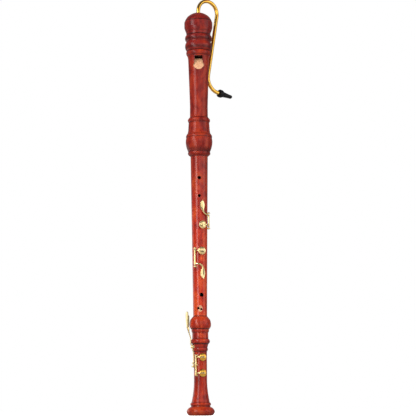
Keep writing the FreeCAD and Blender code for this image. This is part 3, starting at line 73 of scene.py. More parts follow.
# ------------------------------------------------------------------ materials
class Recipe:
    """One procedural material, with short calls for the nodes it is made of."""

    def __init__(self, name, roughness=0.4, metallic=0.0, coat=0.0, coat_roughness=0.05):
        self.material = bpy.data.materials.new(name)
        self.material.use_nodes = True
        self.tree = self.material.node_tree
        self.shader = self.tree.nodes["Principled BSDF"]
        self.shader.inputs["Roughness"].default_value = roughness
        self.shader.inputs["Metallic"].default_value = metallic
        self.shader.inputs["Coat Weight"].default_value = coat
        self.shader.inputs["Coat Roughness"].default_value = coat_roughness
        self.place = self.node("ShaderNodeTexCoord").outputs["Object"]

    def node(self, kind, **settings):
        made = self.tree.nodes.new(kind)
        for key, setting in settings.items():
            setattr(made, key, setting)
        return made

    def link(self, source, target):
        self.tree.links.new(source, target)

    def stretched(self, scale, offset=(0.0, 0.0, 0.0)):
        """Object coordinates scaled per axis, in features per metre."""
        mapping = self.node("ShaderNodeMapping")
        mapping.inputs["Scale"].default_value = scale
        mapping.inputs["Location"].default_value = offset
        self.link(self.place, mapping.inputs["Vector"])
        return mapping.outputs["Vector"]

    def noise(self, scale, offset=(0.0, 0.0, 0.0), detail=3.0, roughness=0.55, twist=0.0):
        made = self.node("ShaderNodeTexNoise")
        made.inputs["Scale"].default_value = 1.0
        made.inputs["Detail"].default_value = detail
        made.inputs["Roughness"].default_value = roughness
        made.inputs["Distortion"].default_value = twist
        self.link(self.stretched(scale, offset), made.inputs["Vector"])
        return made.outputs["Fac"]

    def cells(self, scale):
        made = self.node("ShaderNodeTexVoronoi")
        made.inputs["Scale"].default_value = 1.0
        self.link(self.stretched(scale), made.inputs["Vector"])
        return made.outputs["Distance"]

    def spread(self, source, low, high, to_low=0.0, to_high=1.0):
        """Map a range of values to another one, held at both ends."""
        made = self.node("ShaderNodeMapRange")
        made.inputs["From Min"].default_value = low
        made.inputs["From Max"].default_value = high
        made.inputs["To Min"].default_value = to_low
        made.inputs["To Max"].default_value = to_high
        self.link(source, made.inputs["Value"])
        return made.outputs["Result"]

    def ramp(self, source, stops):
        made = self.node("ShaderNodeValToRGB")
        elements = made.color_ramp.elements
        while len(elements) < len(stops):
            elements.new(0.5)
        for element, (where, colour) in zip(elements, stops):
            element.position = where
            element.color = colour
        self.link(source, made.inputs["Fac"])
        return made.outputs["Color"]

    def mix(self, share, first, second):
        made = self.node("ShaderNodeMix", data_type="RGBA", blend_type="MIX")
        for socket, given in (("Factor", share), ("A", first), ("B", second)):
            self.feed(made.inputs[socket], given)
        return [o for o in made.outputs if o.type == "RGBA"][0]

    def feed(self, socket, given):
        if isinstance(given, bpy.types.NodeSocket):
            self.link(given, socket)
        else:
            socket.default_value = given

    def maths(self, way, first, second=0.0):
        made = self.node("ShaderNodeMath", operation=way)
        self.feed(made.inputs[0], first)
        self.feed(made.inputs[1], second)
        return made.outputs[0]

    def height(self):
        """Height above the base in metres."""
        made = self.node("ShaderNodeSeparateXYZ")
        self.link(self.place, made.inputs[0])
        return made.outputs["Z"]

    def colour(self, source):
        self.link(source, self.shader.inputs["Base Color"])

    def rough(self, source):
        self.link(source, self.shader.inputs["Roughness"])

    def bump(self, source, depth, strength=0.5):
        made = self.node("ShaderNodeBump")
        made.inputs["Strength"].default_value = strength
        made.inputs["Distance"].default_value = depth
        self.link(source, made.inputs["Height"])
        self.link(made.outputs["Normal"], self.shader.inputs["Normal"])


PORE_COLOUR = (0.035, 0.006, 0.004, 1.0)
# Near-black of the painted shade, mixed into the colour in each turned groove and under beads and swells.
SHADE_COLOUR = (0.030, 0.004, 0.004, 1.0)


def stained_wood(name, dark, middle, bright, seed, gloss, shade_bands):
    """Lacquered, red-stained hardwood: mottled figure, long grain, pores and a glossy coat.

    Bands of painted shade, given as height, half width and darkness, darken each turned groove, where some
    stain has gathered too, and the undersides of beads and swells.
    """
    r = Recipe(name, roughness=0.42, coat=gloss, coat_roughness=0.2)
    r.shader.inputs["Specular IOR Level"].default_value = 0.12
    figure = r.noise((52.0, 52.0, 30.0), (seed, 0.0, 0.0), detail=4.0, roughness=0.6, twist=0.6)
    tone = r.ramp(r.spread(figure, 0.32, 0.70),
                  [(0.0, dark), (0.45, middle), (1.0, bright)])
    grain = r.noise((620.0, 620.0, 9.0), (0.0, seed, 0.0), detail=5.0, roughness=0.65, twist=0.3)
    grained = r.mix(r.spread(grain, 0.40, 0.72, 0.0, 0.55), tone, dark)
    bands = r.noise((110.0, 110.0, 3.5), (seed, seed, 0.0), detail=2.0)
    banded = r.mix(r.spread(bands, 0.50, 0.75, 0.0, 0.45), grained, bright)
    pores = r.noise((2100.0, 2100.0, 120.0), (0.0, 0.0, seed), detail=2.0, roughness=0.7)
    pore_share = r.spread(pores, 0.60, 0.70, 0.0, 0.6)
    porous = r.mix(pore_share, banded, PORE_COLOUR)
    height = r.height()
    # Painted shade: each band darkens the colour most near its height and fades out over its half width;
    # noise makes it uneven.
    shade_share = None
    for level, half, share in shade_bands:
        gap = r.maths("ABSOLUTE", r.maths("SUBTRACT", height, level * MM))
        band = r.spread(gap, half * MM * 0.25, half * MM, share, 0.0)
        shade_share = band if shade_share is None else r.maths("MAXIMUM", shade_share, band)
    uneven = r.noise((150.0, 150.0, 150.0), (seed, 0.0, seed), detail=2.0)
    shade_share = r.maths("MULTIPLY", shade_share, r.spread(uneven, 0.25, 0.6, 0.65, 1.0))
    r.colour(r.mix(shade_share, porous, SHADE_COLOUR))
    smears = r.noise((38.0, 38.0, 20.0), (0.0, seed, seed), detail=4.0, roughness=0.7)
    worn = r.spread(smears, 0.35, 0.75, 0.34, 0.52)
    r.rough(r.maths("ADD", worn, r.maths("MULTIPLY", pore_share, 0.2)))
    relief = r.maths("SUBTRACT", r.maths("MULTIPLY", grain, 0.5), pore_share)
    r.bump(relief, 0.00005, 0.25)
    return r.material


def bare_wood(name, light, mid, fleck, seed):
    """Wood without stain or lacquer: a cut face, an oiled bore, or the block."""
    r = Recipe(name, roughness=0.55)
    grain = r.noise((520.0, 520.0, 14.0), (seed, 0.0, 0.0), detail=5.0, roughness=0.6)
    tone = r.ramp(r.spread(grain, 0.35, 0.70), [(0.0, light), (1.0, mid)])
    rays = r.noise((260.0, 260.0, 90.0), (0.0, seed, 0.0), detail=2.0)
    flecked = r.mix(r.spread(rays, 0.58, 0.70, 0.0, 0.35), tone, fleck)
    r.colour(flecked)
    r.rough(r.spread(rays, 0.3, 0.7, 0.48, 0.64))
    r.bump(grain, 0.00008, 0.4)
    return r.material


def brass(name, clean, warm, dull, seed):
    """Polished brass with fine rub marks, warmer patches and a little tarnish."""
    r = Recipe(name, roughness=0.16, metallic=1.0)
    patches = r.noise((90.0, 90.0, 90.0), (seed, 0.0, 0.0), detail=4.0, roughness=0.65)
    tone = r.ramp(r.spread(patches, 0.30, 0.75), [(0.0, clean), (0.6, warm), (1.0, dull)])
    r.colour(tone)
    rubs = r.noise((1500.0, 1500.0, 240.0), (0.0, seed, 0.0), detail=3.0, roughness=0.7)
    r.rough(r.maths("ADD", r.spread(patches, 0.30, 0.75, 0.09, 0.22),
                    r.spread(rubs, 0.40, 0.70, 0.0, 0.08)))
    r.bump(rubs, 0.00002, 0.25)
    return r.material


def steel(name):
    """Drawn steel with lengthwise marks."""
    r = Recipe(name, roughness=0.28, metallic=1.0)
    marks = r.noise((900.0, 900.0, 60.0), detail=3.0)
    r.colour(r.ramp(marks, [(0.25, srgb(196, 198, 204)), (0.75, srgb(138, 140, 148))]))
    r.rough(r.spread(marks, 0.3, 0.7, 0.20, 0.38))
    r.bump(marks, 0.00002, 0.3)
    return r.material


def cork(name):
    """Pressed cork: pale grains with dark lenticels."""
    r = Recipe(name, roughness=0.85)
    grains = r.cells((980.0, 980.0, 980.0))
    cloud = r.noise((240.0, 240.0, 240.0), detail=4.0)
    tone = r.ramp(cloud, [(0.3, srgb(196, 152, 104)), (0.7, srgb(164, 116, 72))])
    r.colour(r.mix(r.spread(grains, 0.50, 0.80, 0.0, 0.55), tone, srgb(112, 72, 42)))
    r.rough(r.spread(cloud, 0.3, 0.7, 0.78, 0.95))
    r.bump(grains, 0.00012, 0.5)
    return r.material


def leather(name):
    """Fine pale kid leather of a key pad."""
    r = Recipe(name, roughness=0.7)
    pebbles = r.cells((1600.0, 1600.0, 1600.0))
    cloud = r.noise((300.0, 300.0, 300.0), detail=3.0)
    r.colour(r.ramp(cloud, [(0.3, srgb(232, 218, 190)), (0.75, srgb(206, 184, 146))]))
    r.rough(r.spread(pebbles, 0.1, 0.6, 0.58, 0.80))
    r.bump(pebbles, 0.00006, 0.5)
    return r.material


def black_plastic(name):
    """Glossy black moulding with faint handling marks."""
    r = Recipe(name, roughness=0.3)
    r.shader.inputs["Specular IOR Level"].default_value = 0.22
    marks = r.noise((140.0, 140.0, 140.0), detail=5.0, roughness=0.7)
    r.colour(r.ramp(marks, [(0.3, srgb(9, 8, 9)), (0.8, srgb(22, 20, 22))]))
    r.rough(r.spread(marks, 0.3, 0.75, 0.24, 0.42))
    fine = r.noise((2600.0, 2600.0, 2600.0), detail=2.0)
    r.bump(fine, 0.00002, 0.3)
    return r.material


# Bands of painted shade on each joint: height, half width, darkness. Narrow ones lie in each turned groove,
# where some stain has gathered too; wider ones lie under beads and swells; the widest make the foot darker
# at its base and the middle joint darker towards its top.
FOOT_SHADE_BANDS = (
    (0.4, 1.6, 0.6), (6.0, 16.0, 0.3), (21.6, 2.2, 0.75), (30.2, 1.5, 0.7), (145.4, 2.4, 0.7),
    (155.0, 1.6, 0.6), (163.2, 2.6, 0.9), (175.3, 1.6, 0.6), (189.4, 1.5, 0.6), (197.2, 2.0, 0.92),
    (225.6, 1.2, 0.6),
)
MIDDLE_SHADE_BANDS = ((227.0, 1.4, 0.6), (598.3, 1.2, 0.6), (600.0, 190.0, 0.40))
HEAD_SHADE_BANDS = (
    (599.6, 1.4, 0.6), (609.8, 1.8, 0.9), (613.0, 9.0, 0.5), (644.2, 1.3, 0.7), (650.6, 1.6, 0.6),
    (679.0, 1.6, 0.6), (690.6, 1.8, 0.75), (839.4, 1.6, 0.6), (850.2, 1.4, 0.8),
)
CAP_SHADE_BANDS = (
    (851.2, 1.3, 0.7), (858.0, 5.2, 0.72), (873.1, 1.2, 0.4), (878.0, 4.2, 0.75), (889.2, 2.8, 0.88),
    (897.0, 1.4, 0.45), (922.9, 2.0, 0.92), (942.8, 1.0, 0.6),
)
WOODS = {
    "foot_joint": stained_wood("wood_foot", srgb(112, 17, 12), srgb(166, 39, 18), srgb(206, 78, 29),
                               3.1, 0.40, FOOT_SHADE_BANDS),
    "middle_joint": stained_wood("wood_middle", srgb(122, 18, 12), srgb(184, 44, 20), srgb(222, 88, 32),
                                 7.4, 0.50, MIDDLE_SHADE_BANDS),
    "head_joint": stained_wood("wood_head", srgb(94, 16, 14), srgb(138, 33, 20), srgb(174, 58, 26),
                               11.7, 0.24, HEAD_SHADE_BANDS),
    "head_cap": stained_wood("wood_cap", srgb(80, 12, 14), srgb(118, 24, 20), srgb(154, 44, 26),
                             16.2, 0.30, CAP_SHADE_BANDS),
}
BARE = bare_wood("wood_bare", srgb(206, 158, 120), srgb(190, 136, 100), srgb(168, 114, 80), 2.3)
DARK = bare_wood("wood_oiled", srgb(46, 20, 12), srgb(28, 11, 8), srgb(58, 26, 14), 9.2)
BLOCK = bare_wood("wood_block", srgb(112, 62, 38), srgb(88, 46, 28), srgb(70, 36, 22), 5.9)
KEY_BRASS = brass("brass_keys", srgb(255, 236, 182), srgb(250, 218, 150), srgb(222, 178, 110), 1.7)
CROOK_BRASS = brass("brass_crook", srgb(250, 206, 104), srgb(244, 184, 74), srgb(222, 150, 58), 4.4)
STEEL = steel("steel_drawn")
CORK = cork("cork_pressed")
LEATHER = leather("leather_pad")
PLASTIC = black_plastic("plastic_black")
SLOT_FINISH = {
    "stained_wood": BARE,
    "block_wood": BLOCK,
    "cork": CORK,
    "key_brass": KEY_BRASS,
    "crook_brass": CROOK_BRASS,
    "steel": STEEL,
    "pad_leather": LEATHER,
    "black_plastic": PLASTIC,
}


def dress(item, *finishes):
    """Give an object these materials in place of its own."""
    item.data.materials.clear()
    for finish in finishes:
        item.data.materials.append(finish)


for part in frame["record"]["subparts"]:
    dress(NODES[part["node"]], SLOT_FINISH[part["material_slot"]])

# Holes in the wood: azimuth, height, radius
HOLES = {
    "middle_joint": (
        (0.0, 546.7, 4.25), (0.0, 504.8, 3.5), (13.3, 274.9, 4.7), (-15.0, 244.3, 2.6), (11.0, 242.0, 2.25),
        (180.0, 562.0, 4.0), (15.5, 436.7, 4.5), (17.0, 376.3, 4.5),
    ),
    "foot_joint": ((21.0, 132.5, 4.5), (21.0, 96.2, 4.5)),
}
# Stained outside and oiled dark inside; bare wood at the window's ramp and the dished double hole.
RAMP_LOW, RAMP_TOP, RAMP_HALF = 0.800, 0.8365, 0.0125
DISH_BEARING = math.radians(3.4)
DISH_OUT, DISH_HIGH = 38.9, 243.2
DISH_MIDDLE = MM * Vector((math.sin(DISH_BEARING) * DISH_OUT, -math.cos(DISH_BEARING) * DISH_OUT,
                           DISH_HIGH))
DISH_RADIUS = 24.0 * MM
HOLE_WALL_SLACK = 0.0004
DISH_SLACK = 0.0002


def in_hole(name, middle):
    """Whether a point lies on the wall of one of a joint's holes."""
    for azimuth, height, radius in HOLES.get(name, ()):
        bearing = math.radians(azimuth)
        outward = Vector((math.sin(bearing), -math.cos(bearing), 0))
        spot = middle - Vector((0, 0, height * MM))
        along = spot.dot(outward)
        if along > 0 and abs((spot - outward * along).length - radius * MM) < HOLE_WALL_SLACK:
            return True
    return False


STAINED, CUT, OILED = 0, 1, 2


def surface_of(name, middle, normal):
    """Which finish a face of a wooden joint has, from its middle and its normal."""
    reach = math.hypot(middle.x, middle.y)
    facing = (middle.x * normal.x + middle.y * normal.y) / max(reach, 1e-6)
    at_window = RAMP_LOW < middle.z < RAMP_TOP and middle.y < 0 and abs(middle.x) < RAMP_HALF
    if name == "head_joint" and at_window:
        if 0.0 < facing < 0.9 or normal.z > 0.2:
            return CUT
        return STAINED if facing > 0.0 else OILED
    if facing < -0.3 or in_hole(name, middle):
        return OILED
    on_dish = abs((middle - DISH_MIDDLE).length - DISH_RADIUS) < DISH_SLACK
    if name == "middle_joint" and on_dish and facing > 0.5:
        return CUT
    return STAINED


for name, wood in WOODS.items():
    item = NODES[name]
    dress(item, wood, BARE, DARK)
    for polygon in item.data.polygons:
        polygon.material_index = surface_of(name, polygon.center, polygon.normal)

# ------------------------------------------------------------ piece building


def around(azimuth, height=0.0):
    """The frame whose -Y points outwards at this azimuth."""
    return Matrix.Translation((0, 0, height)) @ Matrix.Rotation(math.radians(azimuth), 4, "Z")


def shift(across, out, up):
    """A plain move: across, away from the bore axis, and up."""
    return Matrix.Translation((across, -out, up))


def swing(azimuth, out, angle):
    """A turn about an upright axis at this azimuth and distance."""
    bearing = math.radians(azimuth)
    pivot = Vector((out * math.sin(bearing), -out * math.cos(bearing), 0))
    turn = Matrix.Rotation(math.radians(angle), 4, "Z")
    return Matrix.Translation(pivot) @ turn @ Matrix.Translation(-pivot)


OUTWARD = Matrix.Rotation(math.pi / 2, 4, "X")
SIDEWAYS = Matrix.Rotation(math.pi / 2, 4, "Y")


def eased(outline, radius, closed=False, steps=4):
    """An outline with its corners rounded, less where a side is short."""
    out = []
    count = len(outline)
    for place, point in enumerate(outline):
        here = Vector(point)
        if not closed and place in (0, count - 1):
            out.append(here)
            continue
        one = Vector(outline[place - 1]) - here
        two = Vector(outline[(place + 1) % count]) - here
        if one.angle(two) > math.radians(164):
            out.append(here)
            continue
        back = min(radius, one.length * 0.45, two.length * 0.45)
        start = here + one.normalized() * back
        end = here + two.normalized() * back
        for step in range(steps + 1):
            t = step / steps
            out.append(start * (1 - t) ** 2 + here * 2 * t * (1 - t) + end * t * t)
    return out


def flowing(rows, steps=6):
    """Rows of numbers joined by a smooth line through each of them."""
    padded = [rows[0]] + list(rows) + [rows[-1]]
    out = []
    for place in range(1, len(padded) - 2):
        for step in range(steps):
            t = step / steps
            line = []
            for p0, p1, p2, p3 in zip(*padded[place - 1:place + 3]):
                line.append(0.5 * (2 * p1 + (p2 - p0) * t + (2 * p0 - 5 * p1 + 4 * p2 - p3) * t ** 2
                                   + (3 * p1 - p0 - 3 * p2 + p3) * t ** 3))
            out.append(line)
    out.append(list(rows[-1]))
    return out


def soft_square(half_wide, half_thick, sides=24, power=0.45):
    """A square section with well rounded corners, as offsets across and through."""
    out = []
    for step in range(sides):
        turn = 2 * math.pi * step / sides
        c, s = math.cos(turn), math.sin(turn)
        out.append((half_wide * math.copysign(abs(c) ** power, c),
                    half_thick * math.copysign(abs(s) ** power, s)))
    return out


class Form:
    """Closed shells in millimetres, gathered into one piece."""

    def __init__(self):
        self.vertices = []
        self.faces = []

    def skin(self, rings, wrap=False):
        """Join a row of loops; the ends are closed, or joined to each other."""
        base = len(self.vertices)
        count = len(rings[0])
        rows = len(rings)
        for ring in rings:
            self.vertices.extend(ring)
        for row in range(rows if wrap else rows - 1):
            here = base + row * count
            there = base + (row + 1) % rows * count
            for step in range(count):
                after = (step + 1) % count
                self.faces.append((here + step, here + after, there + after, there + step))
        if not wrap:
            self.faces.append(tuple(base + step for step in reversed(range(count))))
            self.faces.append(tuple(base + (rows - 1) * count + step for step in range(count)))

    def turned(self, outline, place, wrap=False, segments=64):
        """Turn (radius, height) points about the place's Z axis."""
        rings = []
        for radius, height in outline:
            ring = []
            for step in range(segments):
                turn = 2 * math.pi * step / segments
                ring.append(place @ Vector((radius * math.cos(turn), radius * math.sin(turn), height)))
            rings.append(ring)
        self.skin(rings, wrap)

    def strap(self, rows, place, level):
        """Sweep a rounded bar along rows of x, y, z, half width and half thickness.

        The bar's width lies along level, as nearly as the bar's own direction lets it.
        """
        points = flowing(rows)
        rings = []
        for index, row in enumerate(points):
            here = Vector(row[:3])
            before = Vector(points[max(index - 1, 0)][:3])
            after = Vector(points[min(index + 1, len(points) - 1)][:3])
            along = (after - before).normalized()
            through = along.cross(level).normalized()
            wide = through.cross(along)
            section = soft_square(row[3], row[4])
            rings.append([place @ (here + wide * a + through * b) for a, b in section])
        self.skin(rings)

    def blade(self, rows, place, inner, top_of, bend=True):
        """A touch along rows of across, up, half width and a share for its top.

        It is bent round the bore, or flat. top_of gives the top's height above the inner face,
        from the place across (-1 to 1) and the share.
        """
        spread = 10
        points = flowing(rows)
        rings = []
        for index, (across, up, half, share) in enumerate(points):
            before = points[max(index - 1, 0)]
            after = points[min(index + 1, len(points) - 1)]
            along = Vector((after[0] - before[0], after[1] - before[1])).normalized()
            side = Vector((-along.y, along.x))
            ring = []
            over = [(j / spread, top_of(j / spread, share)) for j in range(-spread, spread + 1)]
            under = [(j / spread, 0.12 * (j / spread) ** 4) for j in range(spread, -spread - 1, -1)]
            for sideways, rise in over + under:
                a = across + side.x * half * sideways
                z = up + side.y * half * sideways
                if bend:
                    radius = inner + rise
                    ring.append(place @ Vector((a, -math.sqrt(max(radius ** 2 - a ** 2, 0.0)), z)))
                else:
                    ring.append(place @ Vector((a, -inner - rise, z)))
            rings.append(ring)
        self.skin(rings)

    def finish(self, name, body, slot_name, finish, *stands_for, sharp=38.0):
        """Make the piece, smooth but for its edges, and let it ride on its body."""
        mesh = bpy.data.meshes.new(name)
        mesh.from_pydata([tuple(v * MM) for v in self.vertices], [], self.faces)
        work = bmesh.new()
        work.from_mesh(mesh)
        bmesh.ops.remove_doubles(work, verts=work.verts, dist=1e-7)
        bmesh.ops.recalc_face_normals(work, faces=work.faces)
        work.to_mesh(mesh)
        work.free()
        mesh.shade_smooth()
        mesh.set_sharp_from_angle(angle=math.radians(sharp))
        mesh.materials.append(finish)
        item = bpy.data.objects.new(name, mesh)
        bpy.context.scene.collection.objects.link(item)
        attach(item, body)
        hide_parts(*stands_for)


# -------------------------------------------------------------------- keywork
TUBE_RADIUS = 2.4
TUBE_WAIST = 2.16
TUBE_BORE = 1.32
ROD_RADIUS = 1.25
CUP_TOP = 4.9
TAIL_ARM_OUT = 19.6
UP = Vector((0, 0, 1))

# Keys: cup radius, seat, cup azimuth, cup height, hinge azimuth, hinge out, opening turn,
# tube base, tube length
KEYS = {
    "ring_key": (8.9, 16.4, 15.5, 436.7, 76.0, 21.7, 9.0, 433.5, 27.5),
    "index_key": (8.8, 15.8, 17.0, 376.3, -32.0, 21.3, -9.0, 344.5, 33.5),
    "low_f_sharp_key": (8.4, 13.2, 21.0, 132.5, -32.0, 19.4, -7.0, 117.4, 16.7),
    "low_f_key": (8.4, 13.2, 21.0, 96.2, -32.0, 19.4, -7.0, 93.8, 19.8),
}
# Lower face and end azimuth of the arm that runs round to a lever's tail
TAIL_ARMS = {"low_f_sharp_key": (117.5, -72.0), "low_f_key": (110.0, -118.0)}


def cup_outline(radius):
    """A pad cup from inside its recess, over the rim's bead and turned line, to the top."""
    inside = radius - 1.1
    sides = [(0.5, 2.9), (inside, 2.9), (inside, 1.5), (radius, 1.5), (radius, 3.05)]
    dome = [
        (radius - 0.15, 3.32), (radius - 0.45, 3.46), (radius - 0.80, 3.46), (radius - 1.05, 3.38),
        (radius - 1.25, 3.50), (radius * 0.80, 3.90), (radius * 0.68, 4.27), (radius * 0.55, 4.55),
        (radius * 0.42, 4.76), (radius * 0.30, 4.87), (radius * 0.14, 4.90), (0.4, 4.90),
    ]
    return eased(sides, 0.22) + [Vector(p) for p in dome]


def make_key(name):
    """The cup and the lever of one key."""
    radius, seat, cup_az, height, hinge_az, hinge_out, turn, base, length = KEYS[name]
    frame_of_cup = swing(hinge_az, hinge_out, turn) @ around(cup_az, height)
    cup = Form()
    cup.turned(cup_outline(radius), frame_of_cup @ shift(0, seat, 0) @ OUTWARD)
    finish = CROOK_BRASS if name.startswith("low_f") else KEY_BRASS
    cup.finish(name + "_cup_turned", name, "key_brass", finish, name + "_cup")

    lever = Form()
    collar = 1.5
    tube = [
        (TUBE_BORE, 0.0), (TUBE_RADIUS, 0.0), (TUBE_RADIUS, collar), (TUBE_WAIST, collar + 0.3),
        (TUBE_WAIST, length - collar - 0.3), (TUBE_RADIUS, length - collar), (TUBE_RADIUS, length),
        (TUBE_BORE, length),
    ]
    on_rod = around(hinge_az) @ shift(0, hinge_out, base)
    lever.turned(eased(tube, 0.22, closed=True), on_rod, wrap=True, segments=40)
    bearing = math.radians(hinge_az - cup_az)
    across = hinge_out * math.sin(bearing)
    out = hinge_out * math.cos(bearing)
    way = 1 if across > 0 else -1
    top = seat + CUP_TOP + 0.75
    elbow = way * min(abs(across) * 0.62, 10.0)
    lean = Vector((across - elbow, -(out - top), 0)).normalized()
    foot = Vector((across, -out, 0)) - lean * 1.85
    knee = Vector((elbow, -top, 0)) + lean * 4.0
    rows = [
        (-way * 4.4, -top + 0.45, 0.0, 0.7, 0.35),
        (-way * 3.6, -top + 0.1, 0.0, 1.9, 0.75),
        (-way * 1.5, -top, 0.0, 2.3, 0.95),
        (way * 2.5, -top, 0.0, 1.75, 0.95),
        (elbow - way * 2.0, -top, 0.0, 1.35, 0.95),
        (knee.x, knee.y, 0.0, 1.3, 0.95),
        (foot.x, foot.y, 0.0, 2.0, 1.0),
    ]
    lever.strap(rows, frame_of_cup, UP)
    if name in TAIL_ARMS:
        arm_base, arm_end = TAIL_ARMS[name]
        middle = arm_base + 1.7
        start = hinge_az - 5.2
        rows = []
        for step in range(9):
            bearing = math.radians(start + (arm_end - start) * step / 8)
            half = 1.7 if step in (0, 8) else 1.4
            rows.append((TAIL_ARM_OUT * math.sin(bearing), -TAIL_ARM_OUT * math.cos(bearing),
                         middle, half, 0.88))
        lever.strap(rows, Matrix.Identity(4), UP)
    lever.finish(name + "_lever_soldered", name, "key_brass", KEY_BRASS, name + "_lever")


for key_name in KEYS:
    make_key(key_name)


def ridged(across, share):
    """A crowned leaf with a soft ridge along its middle; share thins it towards its stem."""
    edge = abs(across)
    crown = 1.0 - edge ** 2.4
    ridge = 0.35 * math.exp(-(across / 0.22) ** 2)
    return share * (0.45 + 0.75 * crown + ridge)


def hollowed(across, share):
    """A spoon with a valley along its middle; share is how deep it goes."""
    edge = abs(across)
    crown = 0.50 + 1.05 * (1.0 - edge ** 4)
    return crown - share * 1.05 * math.exp(-(across / 0.42) ** 2)


RING_TOUCH = (
    (0.0, 493.6, 0.5, 0.70), (0.0, 492.6, 1.9, 0.85), (0.0, 489.6, 3.9, 1.0), (0.0, 484.4, 5.5, 1.0),
    (0.1, 479.6, 5.5, 1.0), (0.7, 474.6, 4.1, 1.0), (1.7, 470.2, 2.4, 1.0), (3.4, 466.4, 1.75, 1.0),
    (6.2, 463.2, 1.6, 0.95), (10.2, 460.9, 1.6, 0.95), (14.2, 459.6, 1.6, 0.95), (17.3, 459.1, 1.5, 0.95),
)
INDEX_TOUCH = (
    (0.5, 311.3, 0.5, 0.0), (0.45, 312.6, 1.8, 0.35), (0.35, 315.6, 3.8, 0.8), (0.1, 320.6, 5.4, 1.0),
    (-0.1, 325.6, 5.5, 1.0), (0.1, 330.6, 4.4, 0.95), (0.0, 335.6, 2.9, 0.6), (-1.4, 340.0, 2.1, 0.2),
    (-4.2, 343.6, 1.75, 0.0), (-8.0, 345.8, 1.6, 0.0), (-12.4, 346.7, 1.6, 0.0), (-16.4, 346.8, 1.6, 0.0),
)
touch = Form()
touch.blade(RING_TOUCH, around(17.7), 22.4, ridged)
touch.finish("ring_key_touch_leaf", "ring_key", "key_brass", KEY_BRASS, "ring_key_touch", sharp=60.0)
touch = Form()
touch.blade(INDEX_TOUCH, around(20.0), 21.4, hollowed)
touch.finish("index_key_touch_spoon", "index_key", "key_brass", KEY_BRASS, "index_key_touch", sharp=60.0)

# Posts: body, hinge azimuth, hinge out, stem root, wood's surface, heights
POSTS = {
    "ring_key": ("middle", 76.0, 21.7, 14.6, 17.9, (429.6, 464.9)),
    "index_key": ("middle", -32.0, 21.3, 14.6, 17.3, (340.6, 381.9)),
    "foot_key": ("foot", -32.0, 19.4, 12.8, 15.05, (136.0, 115.5, 91.9)),
}
for post_name, (body, azimuth, out, root, wood, heights) in POSTS.items():
    form = Form()
    for height in heights:
        ball = [(1.3, -1.7), (2.5, -1.7), (3.1, -1.15), (3.3, 0.0), (3.1, 1.15), (2.5, 1.7), (1.3, 1.7)]
        outline = [Vector(p) for p in (ball[0], *flowing(ball[1:-1], 3), ball[-1])]
        form.turned(outline, around(azimuth) @ shift(0, out, height), wrap=True, segments=40)
        stem = [
            (0.3, root), (1.7, root), (1.7, wood), (2.75, wood), (2.75, wood + 0.35), (2.2, wood + 0.7),
            (1.5, wood + 1.0), (1.35, out - 2.9), (1.7, out - 2.55), (0.3, out - 2.5),
        ]
        form.turned(eased(stem, 0.15), around(azimuth, height) @ OUTWARD, segments=32)
    form.finish(post_name + "_posts_turned", body, "key_brass", KEY_BRASS, post_name + "_posts")
    rod = Form()
    low = min(heights) - 2.6
    high = max(heights) + 2.6
    ends = [
        (0.2, low + 0.35), (0.85, low), (ROD_RADIUS, low + 0.25),
        (ROD_RADIUS, high - 0.25), (0.85, high), (0.2, high - 0.35),
    ]
    rod.turned([Vector(p) for p in ends], around(azimuth) @ shift(0, out, 0), segments=32)
    rod.finish(post_name + "_rod_ground", body, "steel", STEEL, post_name + "_rod")

# Long levers of the foot keys: azimuth, touch's distance out, side line (out, height, half width)
LEVERS = {
    "low_f_sharp": (-66.0, 32.6, (
        (17.2, 115.4, 1.25), (17.2, 119.0, 1.7), (17.2, 131.0, 1.5), (17.3, 143.0, 1.7), (19.1, 149.8, 1.8),
        (19.9, 156.5, 1.8), (21.6, 160.6, 1.8), (24.2, 164.2, 1.75), (24.3, 176.6, 1.6), (27.9, 187.0, 1.5),
        (31.6, 198.0, 1.7), (31.7, 205.0, 1.8), (31.7, 209.8, 1.1),
    )),
    "low_f": (-112.0, 29.4, (
        (17.2, 109.2, 1.25), (17.2, 113.0, 1.7), (17.2, 128.0, 1.5), (17.3, 143.0, 1.7), (19.1, 149.8, 1.8),
        (19.9, 156.5, 1.8), (21.6, 160.6, 1.8), (24.2, 164.2, 1.75), (24.3, 176.6, 1.6), (26.3, 184.6, 1.5),
        (28.4, 192.6, 1.7), (28.5, 198.0, 1.8), (28.5, 202.3, 1.1),
    )),
}
PIN_OUT, PIN_HIGH, PIN_RADIUS, PIN_BORE = 20.3, 156.5, 1.0, 1.07
BOSS_HALF, SADDLE_GAP, SADDLE_HALF = 1.8, 0.35, 0.8
SADDLE_BACK, SADDLE_FRONT, SADDLE_LOW, SADDLE_TOP = -14.9, -22.6, 153.4, 159.6
TOUCH_LINES = {
    "low_f_sharp": (
        (0.0, 199.1, 1.0, 0.7), (0.0, 200.4, 2.2, 1.0), (0.0, 206.0, 3.6, 1.0), (0.0, 214.0, 5.7, 1.0),
        (0.0, 222.0, 6.9, 1.0), (0.0, 229.0, 7.3, 1.0), (0.0, 233.4, 7.0, 1.0), (0.0, 235.4, 5.6, 0.95),
        (0.0, 236.4, 3.2, 0.7),
    ),
    "low_f": (
        (0.0, 197.1, 1.0, 0.7), (0.0, 198.4, 2.1, 1.0), (0.0, 203.0, 3.3, 1.0), (0.0, 210.0, 4.9, 1.0),
        (0.0, 217.0, 5.7, 1.0), (0.0, 223.0, 5.9, 1.0), (0.0, 227.0, 5.6, 1.0), (0.0, 228.9, 4.4, 0.95),
        (0.0, 229.9, 2.4, 0.7),
    ),
}


def saddle_backed(across, share):
    """A lever's touch: crowned, with rolled sides."""
    edge = abs(across)
    roll = 0.25 * math.exp(-((edge - 0.72) / 0.16) ** 2)
    return share * (0.55 + 0.75 * (1.0 - edge ** 3) + roll)


